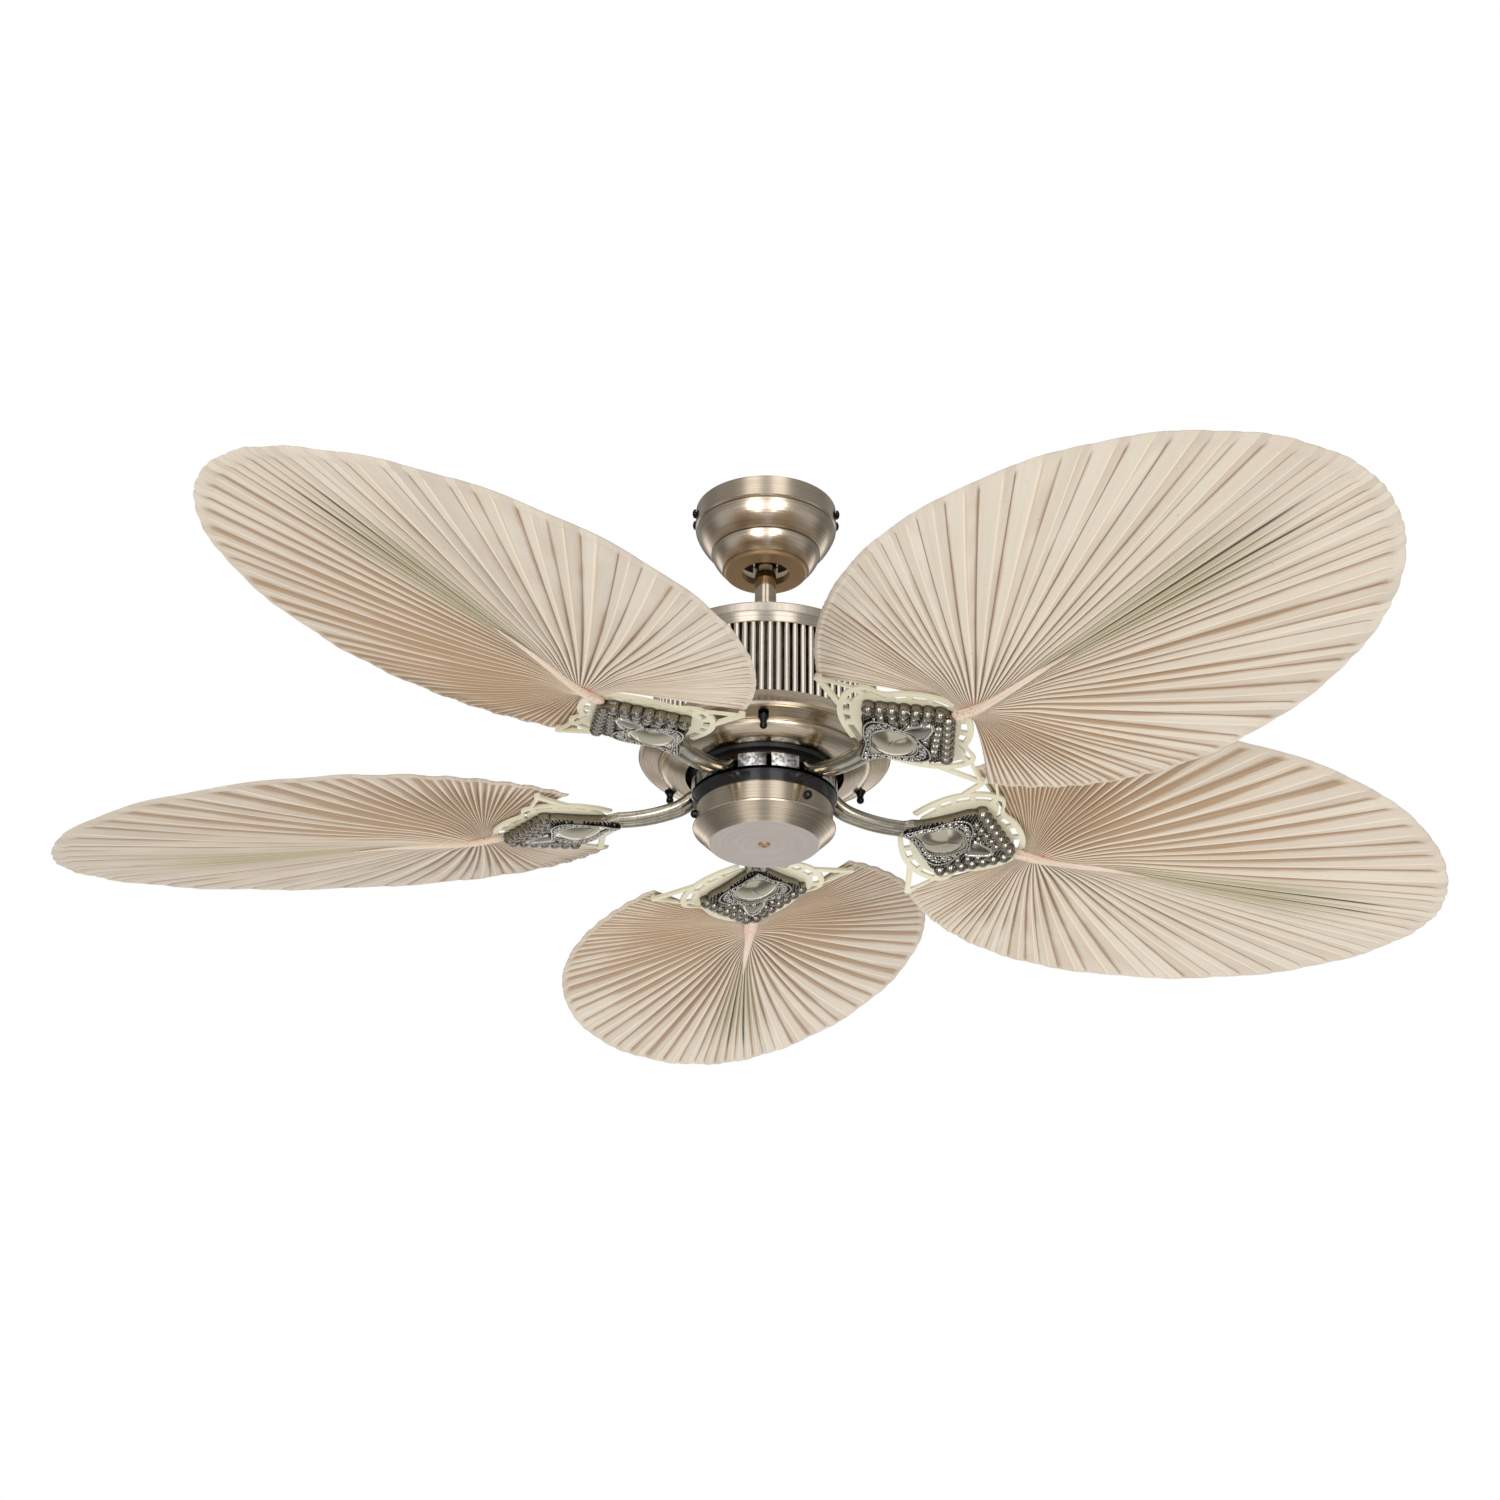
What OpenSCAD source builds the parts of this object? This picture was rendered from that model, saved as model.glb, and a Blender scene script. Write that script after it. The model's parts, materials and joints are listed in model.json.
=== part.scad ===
// Ceiling fan with five pleated palm-leaf blades, drawn as it hangs.
// The origin is on the fan's axis in the ceiling plane, and +Z points up.

/* [Ceiling fittings] */
// Outside radius of the canopy
canopy_r = 63; // [60:1:72]
// Height of the canopy with its trim ring
canopy_h = 64; // [62:1:80]
// Wall of the canopy
canopy_wall = 1.2; // [0.8:0.1:1.8]
// Height of the canopy's straight upper wall
canopy_wall_h = 20; // [18:1:24]
// Outside radius of the trim ring
ring_r = 36.5; // [33:0.5:40]
// Radius of the hole in the trim ring
ring_hole_r = 21; // [20:0.5:24]
// Thickness of the trim ring
ring_t = 4; // [3:0.5:6]
// Radius of the hanger ball
ball_r = 20; // [19:0.5:22]
// Sheet thickness of the ceiling bracket
bracket_t = 2.5; // [2:0.25:3]
// Width of the ceiling bracket
bracket_w = 36; // [34:1:40]
// Distance between the two ceiling screws
ceiling_pitch = 88.9; // [84:0.1:92]
// Radius of the canopy screws' shanks
canopy_screw_r = 1.9; // [1.5:0.1:2.4]

/* [Downrod] */
// Outside radius of the downrod
rod_r = 9.5; // [9:0.25:10.5]
// Wall of the downrod
rod_wall = 2; // [1.5:0.25:3]
// Gap between the canopy and the motor housing
rod_gap = 84; // [60:1:600]
// Radius of the cross pin and the clevis pin
pin_r = 3; // [2:0.25:3.5]

/* [Motor housing] */
// Gap between the turning motor shells and the drum behind the ribs
drum_gap = 4; // [3:0.5:8]
// Diameter of one round rib
rib_d = 5; // [3:0.25:5.5]
// Number of ribs round the drum
rib_count = 84; // [40:1:90]
// Height of the ribs
rib_h = 65; // [60:1:90]
// How far the top band stands out past the drum
top_band_out = 10; // [8.5:0.5:16]
// Height of the top band
top_band_h = 18; // [14:1:24]
// How far the flared lower band stands out past the top band
flare_out = 8.3; // [7:0.1:14]
// Height of the flared lower band
flare_h = 18.8; // [14:0.2:24]
// Radius of the opening under the bowl
bowl_open_r = 68; // [66.5:0.5:74]
// Depth of the bowl below its flat ring
bowl_h = 14; // [12:0.5:18]
// Wall of the housing's sheet pieces
sheet_t = 2; // [1.5:0.1:2.5]

/* [Motor] */
// Outside radius of the hollow motor shaft
shaft_r = 8; // [7:0.25:8.5]
// Radius of the shaft's wire bore
shaft_bore_r = 4.5; // [3:0.25:5.5]
// Outside radius of the turning motor shells
shell_r = 84; // [80:0.5:85]
// Radius of the face that the blade arms bolt to
hub_r = 60; // [59:0.5:62]
// Radius of the bearings
bearing_r = 16; // [13:0.5:18]
// Height of the stator's stack
stack_h = 24; // [20:1:44]

/* [Blade arms] */
// Direction of the first blade, counted from +X
blade_turn = -51; // [-90:1:90]
// Radius of one of the arm's two ridges
ridge_r = 4.8; // [4:0.1:5]
// Half the distance between the two ridges
ridge_off = 5.2; // [4:0.1:6]
// Radius of the bend where the arm leaves the flange
bend_r = 12; // [8:0.5:14]
// Slope of the arm below the flange
bend_a = 40; // [30:1:44]
// Radius of the arm's long sweep towards the blade
sweep_r = 150; // [120:5:180]
// Thickness of the cast bracket under the plate
cast_t = 6; // [5:0.25:8]
// Radius of the arm screws' shanks
arm_screw_r = 2.5; // [2:0.1:3]

/* [Blades] */
// Distance from the fan's axis to the leaf's petiole
petiole_r = 249; // [246:1:262]
// Height of the petiole below the bowl's lower edge
petiole_drop = 26.5; // [25:0.5:28]
// Blade pitch, with the counter-clockwise edge lower
blade_pitch = 11; // [8:0.5:13]
// Downward slope of the blade plate
blade_droop = 4; // [3:0.5:5]
// Thickness of the blade plate
plate_t = 2.5; // [2:0.25:4]
// Length of the leaf from its petiole to its tip
leaf_len = 411; // [330:1:470]
// Half the width of the leaf
leaf_half_w = 179; // [140:1:190]
// Thickness of the leaf
leaf_t = 1.6; // [1.2:0.1:2]
// Thickness of the rolled rim
rim_t = 4.6; // [3:0.2:5.4]
// Depth of the pleats
pleat_depth = 4; // [2:0.25:5]
// Number of pleats in a leaf
pleats = 50; // [24:2:50]

/* [Switch housing] */
// Radius of the bottom cap
cap_r = 58.5; // [57:0.5:60]
// Height of the bottom cap
cap_h = 33; // [30:1:40]
// Height of the cap's straight wall
cap_wall_h = 16; // [15:0.5:18]
// Radius of the flat disc under the cap
cap_disc_r = 46.5; // [40:0.5:52]
// Wall of the bottom cap
cap_t = 1.5; // [1:0.1:2]
// Radius of the cap screws' shanks
cap_screw_r = 1.6; // [1.3:0.1:2]

/* [Hidden] */
$fn = 96;

blade_count = 5;
eps = 0.01;              // overlap that joins two shapes of one solid
pin_clear = 0.05;        // radial clearance round pins and screws
running_clear = 0.03;    // radial clearance of the bearings on the shaft
seat_clear = 0.3;        // clearance of the ball in its seat
fit_clear = 0.05;        // radial clearance between rings that nest
air_gap = 0.6;           // gap between stator and rotor

// Heights, from the ceiling down
ball_z = -ball_r - 14;
seat_top_z = ball_z - 6;
seat_bot_z = ball_z - ball_r * 0.75;
canopy_screw_z = -8;
house_top_z = -canopy_h - rod_gap;
rib_top_z = house_top_z - top_band_h;
rib_bot_z = rib_top_z - rib_h;
flare_bot_z = rib_bot_z - flare_h;
bowl_ring_z = flare_bot_z - sheet_t;
bowl_bot_z = bowl_ring_z - bowl_h;
hub_bot_z = bowl_bot_z - 6.2;
flange_bot_z = hub_bot_z - 5.5;
pad_bot_z = flange_bot_z - 6.4;
arm_z = hub_bot_z - ridge_r - 0.3;
plate_rim_z = pad_bot_z - 1.5;
plate_floor_z = plate_rim_z - 3;
cap_top_z = plate_floor_z - 7.4;
cap_bot_z = cap_top_z - cap_h;
petiole_z = bowl_bot_z - petiole_drop;

// Yoke and coupling
yoke_r = rod_r + 5.5;
yoke_flange_r = 30;
yoke_flange_t = 4;
yoke_top_z = house_top_z + 36;
rod_bot_z = house_top_z + 9;
rod_top_z = ball_z + ball_r - 3;
shaft_top_z = house_top_z + 8;
clevis_z = yoke_top_z - 14;
yoke_screw_z = yoke_top_z - 5;
yoke_screw_r = 2;
house_screw_r = 2;
house_screw_pcr = 23;
cover_r = 34;
cover_h = 42;
cover_t = 1.2;

// Motor
rotor_top_z = rib_top_z - 6;
rotor_wall = 3;
stack_mid_z = (rotor_top_z + hub_bot_z) / 2 + 5;
stator_r = shell_r - 22.6;
winding_in = 6;
winding_w = 27.4;
winding_h = 11.5;
bearing_h = 8;
upper_bearing_z = rotor_top_z - rotor_wall;
rotor_floor_z = hub_bot_z + 14.5;
lower_bearing_z = rotor_floor_z + 2;
bolt_r = 2;
bolt_pcr = shell_r - 9;
bolt_bot_z = rotor_floor_z + 8;
nut_h = 6;

// Ribs and bowl
drum_r = shell_r + drum_gap + sheet_t;
top_band_r = drum_r + top_band_out;
flare_r = top_band_r + flare_out;
rib_set = 2;
rib_ring_r = drum_r + rib_set + rib_d / 2;
rib_outer_r = rib_ring_r + rib_d / 2;
bowl_ring_r = flare_r - 3;
bowl_ridge_r = bowl_ring_r - 12.8;
bowl_screw_pcr = bowl_ridge_r + 3.4;
bowl_screw_r = 2;
finial_r = 4.7;
finial_h = 12.2;
finial = [[0, 0], [1, 0], [1, 0.13], [0.72, 0.26], [0.55, 0.52], [0.64, 0.59], [0.7, 0.7],
    [0.66, 0.84], [0.47, 0.94], [0, 1]];
bowl_screw_turn = 29;
bowl_slope = 4.2;
bowl_screw_z = flare_bot_z - bowl_slope - 0.9;

// Arms, castings and plates
flange_r = 62.6;
flange_in_r = 36;
flange_half_a = 34;
pad_half_a = 11;
pad_a = flange_half_a - pad_half_a - 0.1;
arm_screw_pcr = 52;
arm_start_r = 58;
hook_r = 35;
hook_end_a = 14;
arm_end_a = 4.5;
arm_lap = 0.3;
plate_screw_r = 2;
arm_head_out = 2;
arm_head_h = 2.6;
arm_screw_in = 8;
plate_screw_at = [[-38, 0], [-76, 27], [-76, -27]];
screw_head_h = 3;

// Bottom cap
cap_step = 2.4;
cap_skirt_r = cap_r - cap_t - 0.4;
cap_screw_z = cap_top_z - cap_wall_h / 2;
cap_screw_turn = -52.6;
cap_head_r = 3.7;
cap_head_h = 4.6;
cap_screw_in = 4;
plug_r = 3.9;
plug_head_r = 5.4;

// Leaf
leaf_mid_s = 115;          // distance out where the leaf is widest
leaf_back_len = 230;       // length of the ellipse behind that line
leaf_tip_power = 1.14;     // 1 is an ellipse, and more is a narrower tip
leaf_lobe_s = -75;         // how far the base lobes reach back
leaf_lift = 2.4;           // height of the leaf's middle over the plate
leaf_turn_max = acos((leaf_lobe_s - leaf_mid_s) / leaf_back_len);
leaf_rings = [0.05, 0.22, 0.5, 0.8, 0.955, 1];
rim_from = 4;              // the first of those rings that is rim
petiole_w = 12;
petiole_len = 14;

// Smooth closed curve through hand-chosen points
function curve_point(a, b, c, d, t) =
    ((2 * b) + (c - a) * t + (2 * a - 5 * b + 4 * c - d) * t * t
    + (3 * b - a - 3 * c + d) * t * t * t) / 2;
function smooth(points, steps) = let (n = len(points))
    [for (i = [0 : n - 1], j = [0 : steps - 1]) curve_point(points[(i + n - 1) % n],
        points[i], points[(i + 1) % n], points[(i + 2) % n], j / steps)];
// Outline from its +Y half, listed from the outer end to the inner end
function both_halves(half) = concat(half,
    [for (i = [len(half) - 1 : -1 : 0]) if (abs(half[i].y) > eps) [half[i].x, -half[i].y]]);
// Zone of a rounded profile from one [r, z] down to another, where the surface's normal turns
// from from_a to to_a below the level
function zone(from, to, from_a, to_a, steps = 10) =
    [for (i = [0 : steps]) let (a = from_a + (to_a - from_a) * i / steps)
        [from.x + (to.x - from.x) * (cos(from_a) - cos(a)) / (cos(from_a) - cos(to_a)),
         from.y + (to.y - from.y) * (sin(a) - sin(from_a)) / (sin(to_a) - sin(from_a))]];
// Quarter ellipse in a profile, from [r, z] to [r - dr, z - dz]
function quarter(r, z, dr, dz, steps = 12) =
    [for (i = [0 : steps]) let (a = 90 * i / steps) [r - dr + dr * cos(a), z - dz * sin(a)]];

// Local frame of blade k: +X outwards along the blade, +Y counter-clockwise, +Z up
module at_blade(k) {
    rotate([0, 0, blade_turn + 360 / blade_count * k])
        translate([petiole_r, 0, petiole_z])
            rotate([0, blade_droop, 0])
                rotate([-blade_pitch, 0, 0])
                    children();
}

module tube(r_out, r_in, z_bot, z_top) {
    translate([0, 0, z_bot])
        difference() {
            cylinder(r = r_out, h = z_top - z_bot);
            translate([0, 0, -1])
                cylinder(r = r_in, h = z_top - z_bot + 2);
        }
}

module rod_between(r, z_bot, z_top) {
    translate([0, 0, z_bot])
        cylinder(r = r, h = z_top - z_bot);
}

module ring_of(count, r, turn = 0) {
    for (i = [0 : count - 1])
        rotate([0, 0, turn + 360 * i / count])
            translate([r, 0, 0])
                children();
}

// Domed screw head whose flat side is at z = 0 and whose dome points up
module dome_head(r, h) {
    rotate_extrude()
        polygon(concat([[0, 0]], [for (i = [0 : 8]) let (a = 90 * i / 8)
            [r * cos(a), h * (0.25 + 0.75 * sin(a))]], [[0, h]]));
    cylinder(r = r, h = h * 0.25);
}

// ---- Fixed to the ceiling ----

// The two screw positions on each side wall of the canopy
canopy_screw_y = 9.9;
canopy_in_r = canopy_r - canopy_wall;
tab_x = canopy_in_r * cos(asin((bracket_w / 2 + 0.5) / canopy_in_r)) - 1;
module at_canopy_screws() {
    for (side = [0, 180], y = [-canopy_screw_y, canopy_screw_y])
        rotate([0, 0, side])
            translate([0, y, canopy_screw_z])
                rotate([0, 90, 0])
                    children();
}

module ceiling_bracket() {
    leg_in = ball_r + 1.5;
    seat_out_r = ball_r + 6;
    tab_h = 17;
    slot_r = 2.3;
    slot_len = 12;
    color("silver")
        difference() {
            union() {
                translate([-tab_x, -bracket_w / 2, -bracket_t])
                    cube([2 * tab_x, bracket_w, bracket_t]);
                for (side = [0, 180])
                    rotate([0, 0, side]) {
                        translate([tab_x - 2, -bracket_w / 2, -tab_h])
                            cube([2, bracket_w, tab_h]);
                        translate([leg_in, -9, seat_top_z - 2])
                            cube([seat_out_r - leg_in - 0.5, 18, -seat_top_z + 2 - eps]);
                    }
                rod_between(seat_out_r, seat_bot_z, seat_top_z);
            }
            translate([0, 0, ball_z])
                sphere(r = ball_r + seat_clear);
            rod_between(ball_r * 0.75, seat_bot_z - 1, seat_top_z);
            translate([-rod_r - 1.5, 0, seat_bot_z - 1])
                cube([2 * rod_r + 3, seat_out_r + 1, seat_top_z - seat_bot_z + 2]);
            for (side = [-1, 1])
                translate([side * ceiling_pitch / 2, 0, -bracket_t - 1])
                    linear_extrude(bracket_t + 2) {
                        square([slot_len - 2 * slot_r, 2 * slot_r], center = true);
                        for (end = [-1, 1])
                            translate([end * (slot_len / 2 - slot_r), 0])
                                circle(r = slot_r);
                    }
            at_canopy_screws()
                cylinder(r = canopy_screw_r + pin_clear, h = canopy_r);
        }
}

module terminal_block() {
    block = [26, 14, 8];
    color("ivory")
        difference() {
            translate([-block.x / 2, -block.y - 1, -bracket_t - block.z])
                cube(block);
            for (i = [-1 : 1])
                translate([i * 8, -block.y / 2 - 1, -bracket_t - block.z - 1])
                    cylinder(r = 1.6, h = 5);
        }
}

// Canopy outline from the ceiling down, [radius, height]
canopy_bot_z = -canopy_h + ring_t;
canopy_mid_z = -canopy_wall_h - 24;
canopy_mid_r = canopy_r - 15;
canopy_bot_r = ring_r + 2;
function canopy_outline(inset) = concat(
    [[canopy_r - 0.4 - inset, 0], [canopy_r - inset, -canopy_wall_h + 1.5],
     [canopy_r - 1.1 - inset, -canopy_wall_h], [canopy_r - 1.1 - inset, -canopy_wall_h - 1.4]],
    zone([canopy_r - 0.6 - inset, -canopy_wall_h - 1.8], [canopy_mid_r - inset, canopy_mid_z], 20, 48),
    zone([canopy_mid_r + 0.5 - inset, canopy_mid_z - 0.6],
        [canopy_bot_r - inset, canopy_bot_z + inset], 20, 46));

module canopy() {
    outer = canopy_outline(0);
    inner = canopy_outline(canopy_wall);
    hole_r = ring_hole_r + 3 + fit_clear;
    color("tan")
        difference() {
            rotate_extrude()
                polygon(concat(outer, [[hole_r, canopy_bot_z], [hole_r, canopy_bot_z + canopy_wall]],
                    [for (i = [len(inner) - 1 : -1 : 0]) inner[i]]));
            at_canopy_screws()
                cylinder(r = canopy_screw_r + pin_clear, h = canopy_r + 5);
        }
}

module canopy_ring() {
    color("peru")
        rotate_extrude()
            polygon([[ring_hole_r, -canopy_h], [ring_r - 1, -canopy_h], [ring_r, -canopy_h + 1],
                [ring_r, canopy_bot_z], [ring_hole_r + 3, canopy_bot_z],
                [ring_hole_r + 3, canopy_bot_z + 2.5], [ring_hole_r, canopy_bot_z + 2.5]]);
}

module canopy_screws() {
    seat_x = sqrt(canopy_r * canopy_r - canopy_screw_y * canopy_screw_y) + 0.35;
    color("dimgray")
        at_canopy_screws() {
            translate([0, 0, tab_x - 4])
                cylinder(r = canopy_screw_r, h = seat_x - tab_x + 4 + eps);
            translate([0, 0, seat_x])
                dome_head(4.2, 3.2);
        }
}

// ---- Hanging on the ball ----

module hanger_ball() {
    color("dimgray")
        difference() {
            translate([0, 0, ball_z])
                sphere(r = ball_r);
            rod_between(rod_r + pin_clear, ball_z - ball_r - 1, ball_z + ball_r + 1);
            translate([0, 0, ball_z])
                rotate([90, 0, 0])
                    cylinder(r = pin_r + pin_clear, h = 2 * ball_r + 2, center = true);
        }
}

module ball_pin() {
    color("silver")
        translate([0, 0, ball_z])
            rotate([90, 0, 0])
                cylinder(r = pin_r, h = 2 * ball_r - 4, center = true);
}

module downrod() {
    color("tan")
        difference() {
            tube(rod_r, rod_r - rod_wall, rod_bot_z, rod_top_z);
            translate([0, 0, ball_z])
                rotate([90, 0, 0])
                    cylinder(r = pin_r + pin_clear, h = 3 * rod_r, center = true);
            translate([0, 0, clevis_z])
                rotate([0, 90, 0])
                    cylinder(r = pin_r + pin_clear, h = 3 * rod_r, center = true);
        }
}

module coupling_cover() {
    top_r = rod_r + 5;
    function cover_outline(inset) = concat(
        [[rod_r + 0.3, cover_h - inset]],
        [for (i = [0 : 10]) let (a = 90 - 9 * i)
            [top_r + (cover_r - 8 - top_r) * cos(a) - inset, cover_h - 12 + 12 * sin(a) - inset]],
        [[cover_r - 7 - inset, 14], [cover_r - inset, 4], [cover_r - inset, 0]]);
    inner = cover_outline(cover_t);
    color("tan")
        translate([0, 0, house_top_z])
            rotate_extrude()
                polygon(concat(cover_outline(0), [for (i = [len(inner) - 1 : -1 : 0]) inner[i]]));
}

module yoke() {
    color("dimgray")
        difference() {
            union() {
                rod_between(yoke_r, house_top_z, yoke_top_z);
                rod_between(yoke_flange_r, house_top_z, house_top_z + yoke_flange_t);
            }
            rod_between(rod_r + pin_clear, rod_bot_z, yoke_top_z + 1);
            rod_between(shaft_r + pin_clear, house_top_z - 1, rod_bot_z + eps);
            translate([0, 0, clevis_z])
                rotate([0, 90, 0])
                    cylinder(r = pin_r + pin_clear, h = 3 * yoke_r, center = true);
            translate([0, 0, yoke_screw_z])
                rotate([90, 0, 0])
                    cylinder(r = yoke_screw_r + pin_clear, h = 3 * yoke_r, center = true);
            ring_of(3, house_screw_pcr, 90)
                rod_between(house_screw_r + pin_clear, house_top_z - 1, house_top_z + 10);
        }
}

module clevis_pin() {
    head_r = pin_r + 2;
    color("silver")
        translate([0, 0, clevis_z])
            rotate([0, 90, 0]) {
                translate([0, 0, -yoke_r - 0.2])
                    cylinder(r = pin_r, h = 2 * yoke_r + 4.2);
                translate([0, 0, -yoke_r - 2.2])
                    cylinder(r = head_r, h = 2);
            }
}

module clevis_clip() {
    color("gray")
        translate([yoke_r + 0.3, 0, clevis_z])
            rotate([0, 90, 0])
                tube(pin_r + 2.5, pin_r + pin_clear, 0, 1.2);
}

module yoke_screws() {
    color("gray")
        translate([0, 0, yoke_screw_z])
            for (side = [90, -90])
                rotate([side, 0, 0])
                    translate([0, 0, rod_r + pin_clear])
                        cylinder(r = yoke_screw_r, h = yoke_r - rod_r - 0.5);
}

module housing_screws() {
    color("gray")
        ring_of(3, house_screw_pcr, 90) {
            rod_between(house_screw_r, house_top_z - sheet_t - 3, house_top_z + yoke_flange_t + eps);
            translate([0, 0, house_top_z + yoke_flange_t])
                dome_head(house_screw_r + 1.7, 2.4);
        }
}

module housing_top() {
    matte_h = top_band_h / 2;
    color("tan")
        difference() {
            rotate_extrude()
                polygon([[shaft_r + 1, house_top_z], [top_band_r - 1.5, house_top_z],
                    [top_band_r, house_top_z - 1.5], [top_band_r, house_top_z - matte_h + 0.5],
                    [top_band_r - 0.6, house_top_z - matte_h],
                    [top_band_r - 0.2, house_top_z - matte_h - 0.7],
                    [rib_outer_r + 0.8, rib_top_z + 0.6], [rib_outer_r + 0.3, rib_top_z],
                    [drum_r + fit_clear, rib_top_z], [drum_r + fit_clear, house_top_z - sheet_t],
                    [shaft_r + 1, house_top_z - sheet_t]]);
            ring_of(3, house_screw_pcr, 90)
                rod_between(house_screw_r + pin_clear, house_top_z - 10, house_top_z + 1);
            ring_of(20, 62)
                translate([0, 0, house_top_z - 5])
                    linear_extrude(10) {
                        square([26, 5], center = true);
                        for (end = [-13, 13])
                            translate([end, 0])
                                circle(r = 2.5);
                    }
        }
}

module rib_drum() {
    color("dimgray")
        tube(drum_r, drum_r - sheet_t, flare_bot_z, house_top_z - sheet_t);
}

module rib_bars() {
    color("tan")
        ring_of(rib_count, rib_ring_r, 180 / rib_count)
            rod_between(rib_d / 2, rib_bot_z, rib_top_z);
}

module lower_band() {
    base_r = rib_outer_r + 0.3;
    color("tan")
        difference() {
            rotate_extrude()
                polygon(concat([[drum_r + fit_clear, rib_bot_z], [base_r, rib_bot_z]],
                    [for (i = [0 : 8]) let (t = i / 8) [base_r + 0.5 + (flare_r - base_r - 0.5)
                        * (0.75 * t + 0.25 * t * t), rib_bot_z - 0.5 - (flare_h - 3) * t]],
                    [[flare_r, flare_bot_z + 1.6], [flare_r - 1, flare_bot_z],
                     [drum_r + fit_clear, flare_bot_z]]));
            ring_of(3, bowl_screw_pcr, bowl_screw_turn)
                rod_between(bowl_screw_r + pin_clear, flare_bot_z - 1, flare_bot_z + 8);
        }
}

module bowl() {
    dome_r = bowl_ridge_r - 1.4;
    dome_dr = dome_r - bowl_open_r;
    ridge_z = flare_bot_z - bowl_slope;
    outer = quarter(dome_r, ridge_z - 0.4, dome_dr, ridge_z - 0.4 - bowl_bot_z, 16);
    inner = quarter(dome_r - sheet_t, ridge_z, dome_dr - sheet_t,
        ridge_z - bowl_bot_z - sheet_t, 16);
    color("tan")
        difference() {
            rotate_extrude()
                polygon(concat([[drum_r - sheet_t, flare_bot_z], [bowl_ring_r, flare_bot_z],
                    [bowl_ring_r, flare_bot_z - 0.6], [bowl_ridge_r, ridge_z],
                    [bowl_ridge_r, ridge_z - 0.8], [bowl_ridge_r - 0.9, ridge_z - 0.8]],
                    outer, [for (i = [len(inner) - 1 : -1 : 0]) inner[i]]));
            ring_of(3, bowl_screw_pcr, bowl_screw_turn)
                rod_between(bowl_screw_r + pin_clear, bowl_screw_z - 3, flare_bot_z + 1);
        }
}

module bowl_screws() {
    color("dimgray")
        ring_of(3, bowl_screw_pcr, bowl_screw_turn) {
            rod_between(bowl_screw_r, bowl_screw_z - 1, flare_bot_z + 6);
            translate([0, 0, bowl_screw_z])
                rotate_extrude()
                    polygon([for (p = finial) [p.x * finial_r, -p.y * finial_h]]);
        }
}

module motor_shaft() {
    color("silver")
        tube(shaft_r, shaft_bore_r, plate_floor_z - sheet_t - nut_h - 2, shaft_top_z);
}

module stator_core() {
    color("gray")
        tube(stator_r, shaft_r + pin_clear, stack_mid_z - stack_h / 2, stack_mid_z + stack_h / 2);
}

module stator_windings() {
    color("chocolate")
        for (z = [stack_mid_z + stack_h / 2, stack_mid_z - stack_h / 2 - winding_h])
            tube(stator_r - winding_in, stator_r - winding_in - winding_w, z, z + winding_h);
}

module switch_plate() {
    lip_r = flange_r - 0.6;
    color("black")
        difference() {
            rotate_extrude()
                polygon([[shaft_r + pin_clear, plate_floor_z], [lip_r - 2.4, plate_floor_z],
                    [lip_r - 2, plate_rim_z + 0.4], [lip_r - 1, plate_rim_z],
                    [lip_r + 0.1, plate_rim_z - 1], [lip_r - 0.3, plate_rim_z - 3],
                    [cap_r + 1, cap_top_z], [cap_skirt_r, cap_top_z],
                    [cap_skirt_r, cap_top_z - cap_wall_h + 3],
                    [cap_skirt_r - 2, cap_top_z - cap_wall_h + 3],
                    [cap_skirt_r - 2, plate_floor_z - sheet_t],
                    [shaft_r + pin_clear, plate_floor_z - sheet_t]]);
            ring_of(3, 0, cap_screw_turn)
                translate([0, 0, cap_screw_z])
                    rotate([0, 90, 0])
                        cylinder(r = cap_screw_r + pin_clear, h = cap_r + 5);
        }
}

module shaft_nut() {
    color("silver")
        translate([0, 0, plate_floor_z - sheet_t - nut_h])
            difference() {
                cylinder(r = shaft_r + 5, h = nut_h, $fn = 6);
                translate([0, 0, -1])
                    cylinder(r = shaft_r + pin_clear, h = nut_h + 2);
            }
}

module capacitor() {
    body = [40, 20, 22];
    color("darkslategray")
        translate([-body.x / 2, shaft_r + 13, plate_floor_z - sheet_t - body.z])
            cube(body);
}

module bottom_cap() {
    wall_bot_z = cap_top_z - cap_wall_h;
    wide_r = cap_r + cap_step;
    brim = 3;
    outer = concat([[cap_r, cap_top_z], [cap_r, wall_bot_z], [wide_r - 0.6, wall_bot_z - 1]],
        [for (i = [0 : 6]) let (a = 50 * i / 6)
            [wide_r - brim + brim * cos(a), wall_bot_z - 1.6 - brim * sin(a)]],
        [[cap_disc_r + 0.7, cap_bot_z + 0.5], [cap_disc_r, cap_bot_z]]);
    inner = [for (i = [0 : len(outer) - 1]) [outer[i].x - (i == len(outer) - 1 ? 0.6 : cap_t),
        max(outer[i].y, cap_bot_z + cap_t)]];
    color("tan")
        difference() {
            rotate_extrude()
                polygon(concat(outer, [[plug_r + pin_clear, cap_bot_z],
                    [plug_r + pin_clear, cap_bot_z + cap_t]],
                    [for (i = [len(inner) - 1 : -1 : 0]) inner[i]]));
            ring_of(3, 0, cap_screw_turn)
                translate([0, 0, cap_screw_z])
                    rotate([0, 90, 0])
                        cylinder(r = cap_screw_r + pin_clear, h = cap_r + 5);
        }
}

module cap_screws() {
    color("dimgray")
        ring_of(3, 0, cap_screw_turn)
            translate([0, 0, cap_screw_z])
                rotate([0, 90, 0]) {
                    translate([0, 0, cap_skirt_r - cap_screw_in])
                        cylinder(r = cap_screw_r, h = cap_r - cap_skirt_r + cap_screw_in + 0.2);
                    translate([0, 0, cap_r + 0.1])
                        dome_head(cap_head_r, cap_head_h);
                }
}

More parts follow.
